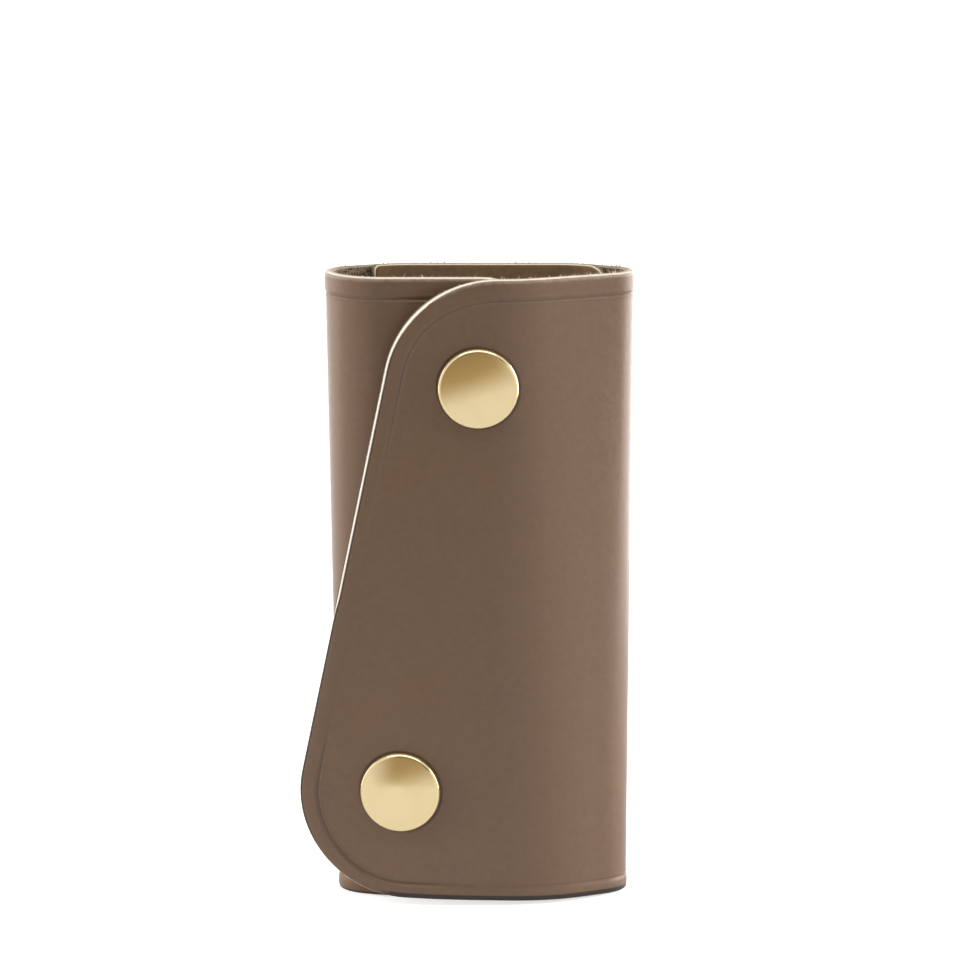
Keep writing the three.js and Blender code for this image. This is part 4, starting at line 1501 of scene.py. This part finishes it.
    def build(self, finishes: Finishes) -> None:
        """Makes the five turned pieces of the snap.

        Args:
            finishes: The materials.
        """
        brass = (finishes.brass, "brass")
        steel = (finishes.steel, "spring_steel")
        pieces = (
            ("snap_cap", "outer_flap", brass, self.cap_profile(), self.cap_sides),
            ("snap_socket", "outer_flap", brass, self.socket_profile(), self.sides),
            ("snap_spring", "outer_flap", steel, self.spring_profile(), self.sides),
            ("snap_stud", "inner_flap", brass, self.stud_profile(), self.sides),
            ("stud_rivet", "inner_flap", brass, self.rivet_profile(), self.sides),
        )
        for kind, body, (material, slot), profile, sides in pieces:
            draft = MeshDraft()
            turned(draft, self.spot(), profile, sides)
            node = f"{kind}_{self.place}"
            fasten(draft.build(f"{node}_turned", [material]), body, node, slot)


@dataclass
class KeyHook:
    """One hook: a wire loop with an eye on the rod and a gap, closed by a sprung gate on a headed pin."""

    number: int
    width: float = 5.8
    wire: float = 1.4
    wire_power: float = 0.6
    loop_top: float = 3.0
    length: float = 25.0
    gap_top: float = 8.4
    gap_bottom: float = 16.0
    bend_points: int = 25
    eye_radius: float = 1.5
    eye_bore: float = 0.95
    eye_width: float = 2.6
    eye_round: float = 0.18
    eye_sides: int = 48
    neck_width: float = 2.4
    neck_depth: float = 1.1
    neck_power: float = 0.4
    neck_gap: float = 0.1
    neck_flare: float = 0.25
    flare_levels: Pair = (-1.8, -3.6)
    pin_radius: float = 0.4
    pin_head: float = 0.75
    pin_proud: float = 0.45
    head_height: float = 0.25
    pin_round: float = 0.08
    pin_sides: int = 40
    gate_width: float = 1.6
    gate_depth: float = 0.5
    gate_front: float = -1.4
    gate_length: float = 10.5
    gate_edge: float = 0.12
    gate_crown: float = 0.14
    crown_spread: float = 0.75

    def loop(self) -> tuple[Array, Array]:
        """Centre line of the loop: from under the gap round the foot, up the far side and round the top.

        The foot and the top are half circles, whose points are their middle + half (cos a, sin a).

        Returns:
            Across and up of each point, and the unit vectors across the line.
        """
        half = (self.width - self.wire) / 2
        top = -self.loop_top - self.wire / 2 - half
        bottom = self.wire / 2 + half - self.length
        count = self.bend_points
        low = np.radians(np.linspace(0, -180, count))
        high = np.radians(np.linspace(180, 0, count))
        turn = np.concatenate([[0.0], low, high, [0.0]])
        level = [[-self.gap_bottom], np.full(count, bottom), np.full(count, top), [-self.gap_top]]
        side = np.stack([np.cos(turn), np.sin(turn)], axis=-1)
        arc = np.concatenate([[0.0], np.ones(2 * count), [0.0]])
        up = np.concatenate(level) + half * np.sin(turn) * arc
        return np.stack([half * np.cos(turn), up], axis=-1), side

    def neck(self) -> Array:
        """Neck between the eye and the loop: rings of a squared circle that widen downwards.

        Returns:
            Rings by points of a ring by three.
        """
        ring = squared_circle(self.neck_power)
        level = np.linspace(-self.eye_bore - self.neck_gap, -self.loop_top - self.wire / 2, 9)[:, None]
        flare = 0.5 * self.neck_width * (1 + self.neck_flare * smoothstep(level, *self.flare_levels))
        parts = np.broadcast_arrays(flare * ring[:, 0], 0.5 * self.neck_depth * ring[:, 1], level)
        return np.stack(parts, axis=-1)

    def pin_profile(self) -> Array:
        """Half section of the pin that the gate turns on, from its head to the wire.

        Returns:
            Radius and level of each point.
        """
        head = self.gate_front - self.pin_proud
        corners = [
            [0, head],
            [self.pin_head * HEAD_FLAT, head + HEAD_EASE],
            [self.pin_head, head + self.head_height],
            [self.pin_radius, head + self.head_height],
            [self.pin_radius, 0],
            [0, 0],
        ]
        return filleted(corners, self.pin_round)

    def gate_outline(self) -> Array:
        """Outline of the gate: a strip that hangs from the pin, with a half circle at each end.

        Returns:
            Across and up of each point, anticlockwise.
        """
        radius = self.gate_width / 2
        turn = np.radians(np.linspace(0, 180, self.bend_points))
        upper = np.stack([radius * np.cos(turn), radius * np.sin(turn)], axis=-1)
        fall = radius - self.gate_length - radius * np.sin(turn)
        return np.concatenate([upper, np.stack([-radius * np.cos(turn), fall], axis=-1)])

    def build(self, finishes: Finishes) -> None:
        """Makes the hook and its gate.

        Args:
            finishes: The materials.
        """
        spot = LocalFrame.upright(joint_place(f"hook_{self.number}_swing"))
        pivot = joint_place(f"gate_{self.number}_open")
        pin = LocalFrame.upright(np.array([pivot[0], spot.origin[1], pivot[2]]))
        half = self.eye_width / 2
        eye = tube_profile(self.eye_bore, self.eye_radius, -half, half, self.eye_round)
        hook = MeshDraft()
        swept(hook, spot, *self.loop(), self.wire / 2 * squared_circle(self.wire_power))
        turned(hook, spot.crosswise(), eye, self.eye_sides)
        hook.add_tube(spot.place(self.neck()))
        turned(hook, pin, self.pin_profile(), self.pin_sides)
        piece = hook.build(f"key_hook_{self.number}_wire", [finishes.brass])
        fasten(piece, f"hook_{self.number}", f"key_hook_{self.number}", "brass")

        gate = MeshDraft()
        faces = (self.gate_front, self.gate_front + self.gate_depth)
        spread = self.crown_spread * (self.gate_width / 2)
        slab(gate, pin, self.gate_outline(), faces, self.gate_edge, self.gate_crown, spread)
        strip = gate.build(f"hook_gate_{self.number}_strip", [finishes.steel])
        fasten(strip, f"gate_{self.number}", f"hook_gate_{self.number}", "spring_steel")


@dataclass
class HookRack:
    """The rack: a stamped plate with rolled knuckles, a headed rod and two domed rivets."""

    lean: float
    count: int = 4
    pitch: float = 7.2
    margin: float = 0.65
    plate_height: float = 9.0
    plate_corner: float = 2.2
    plate_front: float = 0.7
    plate_back: float = 1.5
    plate_edge: float = 0.2
    plate_round: float = 0.25
    knuckle_radius: float = 1.5
    knuckle_round: float = 0.2
    bore: float = 0.95
    slot_width: float = 3.2
    slot_top: float = 1.8
    rod_radius: float = 0.8
    rod_head: float = 1.25
    rod_play: float = 0.1
    rod_proud: float = 0.6
    head_height: float = 0.2
    rod_round: float = 0.12
    rivet_spacing: float = 21.6
    rivet_height: float = 5.4
    rivet_radius: float = 2.2
    rivet_dome: float = 0.7
    rivet_rim: float = 0.1
    rivet_sunk: float = 0.05
    sides: int = 48

    def spot(self) -> LocalFrame:
        """Frame of the rack: from the middle of the rod, leaning back with the lining.

        Returns:
            The frame.
        """
        centre = (joint_place("hook_1_swing") + joint_place(f"hook_{self.count}_swing")) / 2
        across = np.array([1.0, 0, 0])
        along = np.array([0.0, math.cos(self.lean), math.sin(self.lean)])
        return LocalFrame(centre, across, along, np.cross(across, along))

    def half_width(self) -> float:
        """Half of the plate's width."""
        return (self.count * self.pitch) / 2 + self.margin

    def notches(self) -> tuple[Array, Array]:
        """Where the notches for the hooks' eyes start and end, across the rack."""
        centres = (np.arange(self.count) - (self.count - 1) / 2) * self.pitch
        return centres - 0.5 * self.slot_width, centres + 0.5 * self.slot_width

    def plate_outline(self) -> Array:
        """Outline of the plate: lower edge with a notch for each hook's eye, rounded upper corners.

        Returns:
            Across and up of each point, anticlockwise.
        """
        half = self.half_width()
        start, stop = self.notches()
        level = np.tile([0.0, self.slot_top, self.slot_top, 0.0], (self.count, 1))
        notches = np.stack([np.stack([start, start, stop, stop], axis=1), level], axis=-1).reshape(-1, 2)
        turn = np.radians(np.linspace(0, 90, 10))
        rounding = self.plate_corner * np.stack([1 - np.cos(turn), 1 - np.sin(turn)], axis=-1)
        right = [half, self.plate_height] - rounding
        left = right[::-1] * [-1, 1]
        corners = np.concatenate([[[-half, 0.0]], notches, [[half, 0.0]], right, left, [[-half, 0.0]]])
        return filleted(corners, self.plate_round, 5)[:-1]

    def rod_profile(self) -> Array:
        """Half section of the rod: a shaft with a head at each end.

        Returns:
            Radius and level of each point.
        """
        inner, outer = self.half_width() + self.rod_play, self.half_width() + self.rod_proud
        head = np.array(
            [
                [self.rod_radius, inner],
                [self.rod_head, inner],
                [self.rod_head, inner + self.head_height],
                [self.rod_head * HEAD_FLAT, outer - HEAD_EASE],
                [0, outer],
            ]
        )
        return filleted(np.concatenate([head[::-1] * [1, -1], head]), self.rod_round)

    def rivet_profile(self) -> Array:
        """Half section of a rivet: a quarter ellipse over a short rim, sunk a little into the plate.

        Returns:
            Radius and level of each point.
        """
        turn = np.radians(np.linspace(90, 0, 12))
        rise = self.plate_front - self.rivet_rim - self.rivet_dome * np.sin(turn)
        dome = np.stack([self.rivet_radius * np.cos(turn), rise], axis=-1)
        low = self.plate_front + self.rivet_sunk
        return np.concatenate([dome, [[self.rivet_radius - self.rivet_rim, low], [0, low]]])

    def build(self, finishes: Finishes) -> None:
        """Makes the plate, the rod and the two rivets.

        Args:
            finishes: The materials.
        """
        spot = self.spot()
        rod_spot = spot.crosswise()
        start, stop = self.notches()
        half = self.half_width()
        plate = MeshDraft()
        slab(plate, spot, self.plate_outline(), (self.plate_front, self.plate_back), self.plate_edge)
        for left, right in zip([-half, *stop], [*start, half]):
            knuckle = tube_profile(self.bore, self.knuckle_radius, left, right, self.knuckle_round)
            turned(plate, rod_spot, knuckle, self.sides)
        fasten(plate.build("hook_plate_stamped", [finishes.brass]), "case_back", "hook_plate", "brass")

        rod = MeshDraft()
        turned(rod, rod_spot, self.rod_profile(), self.sides)
        fasten(rod.build("hook_rod_headed", [finishes.brass]), "case_back", "hook_rod", "brass")

        for name, sign in (("left", -1), ("right", 1)):
            origin = spot.place([sign * self.rivet_spacing / 2, 0, self.rivet_height])
            rivet_spot = LocalFrame(origin, spot.across, spot.along, spot.up)
            rivet = MeshDraft()
            turned(rivet, rivet_spot, self.rivet_profile(), self.sides)
            piece = rivet.build(f"plate_rivet_{name}_domed", [finishes.brass])
            fasten(piece, "case_back", f"plate_rivet_{name}", "brass")


@dataclass(frozen=True)
class Lamp:
    """A soft light: its place and size, its power in watts, and whether it lights and is reflected."""

    name: str
    place: tuple[float, float, float]
    size: Pair
    power: float
    lights: bool = True
    reflects: bool = True


@dataclass
class Studio:
    """White table, soft side lights and the camera at the photograph's view; sizes are metres."""

    foot: Array
    aim_height: float = 73.29 * MM
    distance: float = 1.5
    far: float = 50.0
    pitch: float = 12.5
    frame_width: float = 0.16671
    # Width of the camera's sensor, which Blender has in millimetres.
    sensor: float = 36.0
    lamp_aim: tuple[float, float, float] = (0.0, 0.0, 0.055)
    lamps: tuple[Lamp, ...] = (
        Lamp("left_softbox", (-0.8, 0.0, 0.3), (0.6, 0.6), 7.8, reflects=False),
        Lamp("right_softbox", (0.8, 0.05, 0.3), (0.6, 0.6), 9.2, reflects=False),
        Lamp("top_softbox", (0.0, -0.3, 1.0), (1.2, 0.35), 3.2),
        Lamp("left_strip", (-0.2, 0.12, 0.08), (0.35, 0.25), 0.4, lights=False),
        Lamp("right_strip", (0.2, 0.12, 0.08), (0.35, 0.25), 1.15, lights=False),
    )
    white: str = "#ffffff"
    sky: float = 0.422
    table_white: str = "#d6d6d6"
    table_lift: float = 0.66
    table_mirrored: float = 0.2
    table_level: float = -0.0002
    table_front: float = -0.11
    table_back: float = 2.5
    table_half: float = 1.5
    card_light: str = "#bba985"
    card_dark: str = "#2a2112"
    card_place: float = -0.95
    card_left: float = -0.4
    card_right: float = 0.24
    card_low: float = -0.36
    card_high: float = 0.7
    card_edge: float = 0.13
    card_tilt: float = 0.35
    card_foot: Pair = (-0.16, -0.04)
    card_fall: Pair = (-0.05, 0.5)
    flag_black: str = "#0f0c08"
    flag_place: float = -0.97
    flag_sides: Pair = (0.2, 0.85)
    flag_feet: Pair = (0.15, 0.5)
    flag_top: float = 0.85

    def place_camera(self) -> None:
        """Puts the camera in front of the case, looking down at it through a long lens."""
        data = bpy.data.cameras.new("photo_camera")
        data.sensor_width = self.sensor
        data.lens = self.sensor * self.distance / self.frame_width
        data.clip_end = self.far
        camera = bpy.data.objects.new("photo_camera", data)
        bpy.context.scene.collection.objects.link(camera)
        tilt = math.radians(self.pitch)
        view = Vector((0, math.cos(tilt), -math.sin(tilt)))
        aim = Vector(self.foot + np.array([0, 0, self.aim_height]))
        camera.location = aim - self.distance * view
        camera.rotation_euler = view.to_track_quat("-Z", "Y").to_euler()
        bpy.context.scene.camera = camera

    def hang_lamp(self, lamp: Lamp) -> None:
        """Hangs a soft light that faces the middle of the case and isn't seen itself.

        Args:
            lamp: The light.
        """
        data = bpy.data.lights.new(lamp.name, "AREA")
        data.shape = "RECTANGLE"
        data.size, data.size_y = lamp.size
        data.energy = lamp.power
        box = bpy.data.objects.new(lamp.name, data)
        box.visible_camera = False
        box.visible_diffuse = lamp.lights
        box.visible_glossy = lamp.reflects
        bpy.context.scene.collection.objects.link(box)
        box.location = lamp.place
        aim = Vector(self.lamp_aim) - box.location
        box.rotation_euler = aim.to_track_quat("-Z", "Y").to_euler()

    def lay_table(self) -> None:
        """Lays the white table: white to the camera, fainter in reflections, with a shadow on it."""
        draft = MeshDraft()
        width = np.linspace(-self.table_half, self.table_half, 9)
        x, y = np.meshgrid(width, np.linspace(self.table_front, self.table_back, 9), indexing="ij")
        draft.add_grid(np.stack([x, y, np.full_like(x, self.table_level)], axis=-1))
        material, add = new_material("white_table")
        rays = add("LightPath").node.outputs
        weights = (rays["Is Glossy Ray"], self.table_mirrored, rays["Is Camera Ray"])
        seen = add("Math", weights, operation="MULTIPLY_ADD")
        lift = add("MapRange", (seen, 0.0, 1.0, 0.0, self.table_lift))
        paint = add("BsdfDiffuse", {"Color": linear(self.table_white)})
        glow = add("Emission", {"Strength": lift})
        add("OutputMaterial", (add("AddShader", (paint, glow)),))
        draft.build("table", [material])

    def stand_card(self) -> None:
        """Stands a brown card before the case that only reflections see: it darkens the caps' upper parts.

        Its tone falls from light at the foot to dark at the top, and its sides and foot fade to white.
        """
        draft = MeshDraft()
        width, rise = [self.card_left, self.card_right], [self.card_low, self.card_high]
        x, z = np.meshgrid(width, rise, indexing="ij")
        draft.add_grid(np.stack([x, np.full_like(x, self.card_place), z], axis=-1))
        material, add = new_material("brown_card")
        across, _, up = add("SeparateXYZ", (add("TexCoord", out="Object"),)).node.outputs
        left = add("MapRange", (across, self.card_left, self.card_left + self.card_edge))
        right = add("MapRange", (across, self.card_right, self.card_right - self.card_edge))
        level = add("Math", (across, -self.card_tilt, up), operation="MULTIPLY_ADD")
        foot = add("MapRange", (level, *self.card_foot))
        sides = add("Math", (left, right), operation="MINIMUM")
        inside = add("Math", (sides, foot), operation="MINIMUM")
        height = add("MapRange", (level, *self.card_fall))
        tone = add("Mix", {0: height, 6: linear(self.card_light), 7: linear(self.card_dark)}, **BLEND)
        shown = add("Mix", {0: inside, 6: linear(self.white), 7: tone}, **BLEND)
        add("OutputMaterial", (add("Emission", {"Color": shown}),))
        self.hide_but_reflect(draft.build("front_card", [material]))

    def hang_flag(self) -> None:
        """Hangs a black cloth to the right that only reflections see, as a line inside the caps' rims."""
        draft = MeshDraft()
        x = np.repeat(np.array(self.flag_sides)[:, None], 2, 1)
        z = np.stack([self.flag_feet, np.full(2, self.flag_top)], axis=-1)
        draft.add_grid(np.stack([x, np.full_like(x, self.flag_place), z], axis=-1))
        material, add = new_material("black_cloth")
        add("OutputMaterial", (add("BsdfDiffuse", {"Color": linear(self.flag_black)}),))
        self.hide_but_reflect(draft.build("black_flag", [material]))

    def hide_but_reflect(self, card: Piece) -> None:
        """Leaves a card of the studio visible to reflections alone.

        Args:
            card: The card.
        """
        card.visible_camera = False
        card.visible_diffuse = False
        card.visible_shadow = False
        card.visible_transmission = False

    def fill_sky(self) -> None:
        """Surrounds the case with white: full strength where it is seen, a plain level where it lights."""
        world = bpy.data.worlds.new("white_room")
        world.use_nodes = True
        bpy.context.scene.world = world
        world.node_tree.nodes.clear()
        add = partial(add_node, world.node_tree)
        rays = add("LightPath").node.outputs
        seen = add("Math", (rays["Is Camera Ray"], rays["Is Glossy Ray"]), operation="MAXIMUM")
        either = add("Math", (seen, rays["Is Transmission Ray"]), operation="MAXIMUM")
        strength = add("MapRange", (either, 0.0, 1.0, self.sky, 1.0))
        sky = add("Background", {"Color": linear(self.white), "Strength": strength})
        add("OutputWorld", (sky,))

    def build(self) -> None:
        """Sets up camera, lights, table and surroundings."""
        bpy.context.scene.view_settings.view_transform = "Standard"
        self.place_camera()
        for lamp in self.lamps:
            self.hang_lamp(lamp)
        self.lay_table()
        self.stand_card()
        self.hang_flag()
        self.fill_sky()


def main() -> None:
    """Builds the case piece by piece inside the frame, then the studio."""
    logging.basicConfig(level=logging.INFO, format="%(name)s %(message)s")
    flat_sheet = WrappedSheet()
    hinge = joint_place("outer_flap_open")
    offset = hinge - flat_sheet.place(flat_sheet.right_tip, 0.0, flat_sheet.thickness / 2)
    sheet = WrappedSheet(offset=tuple(offset))
    finishes = Finishes()
    CaseLeather(sheet).build(finishes)
    SnapFastener("upper", *UPPER_SNAP, sheet).build(finishes)
    SnapFastener("lower", *LOWER_SNAP, sheet).build(finishes)
    rack = HookRack(math.atan2(sheet.bottom.back - sheet.top.back, sheet.height))
    rack.build(finishes)
    for number in range(1, rack.count + 1):
        KeyHook(number).build(finishes)
    Studio(foot=offset).build()


if __name__ == "__main__":
    main()
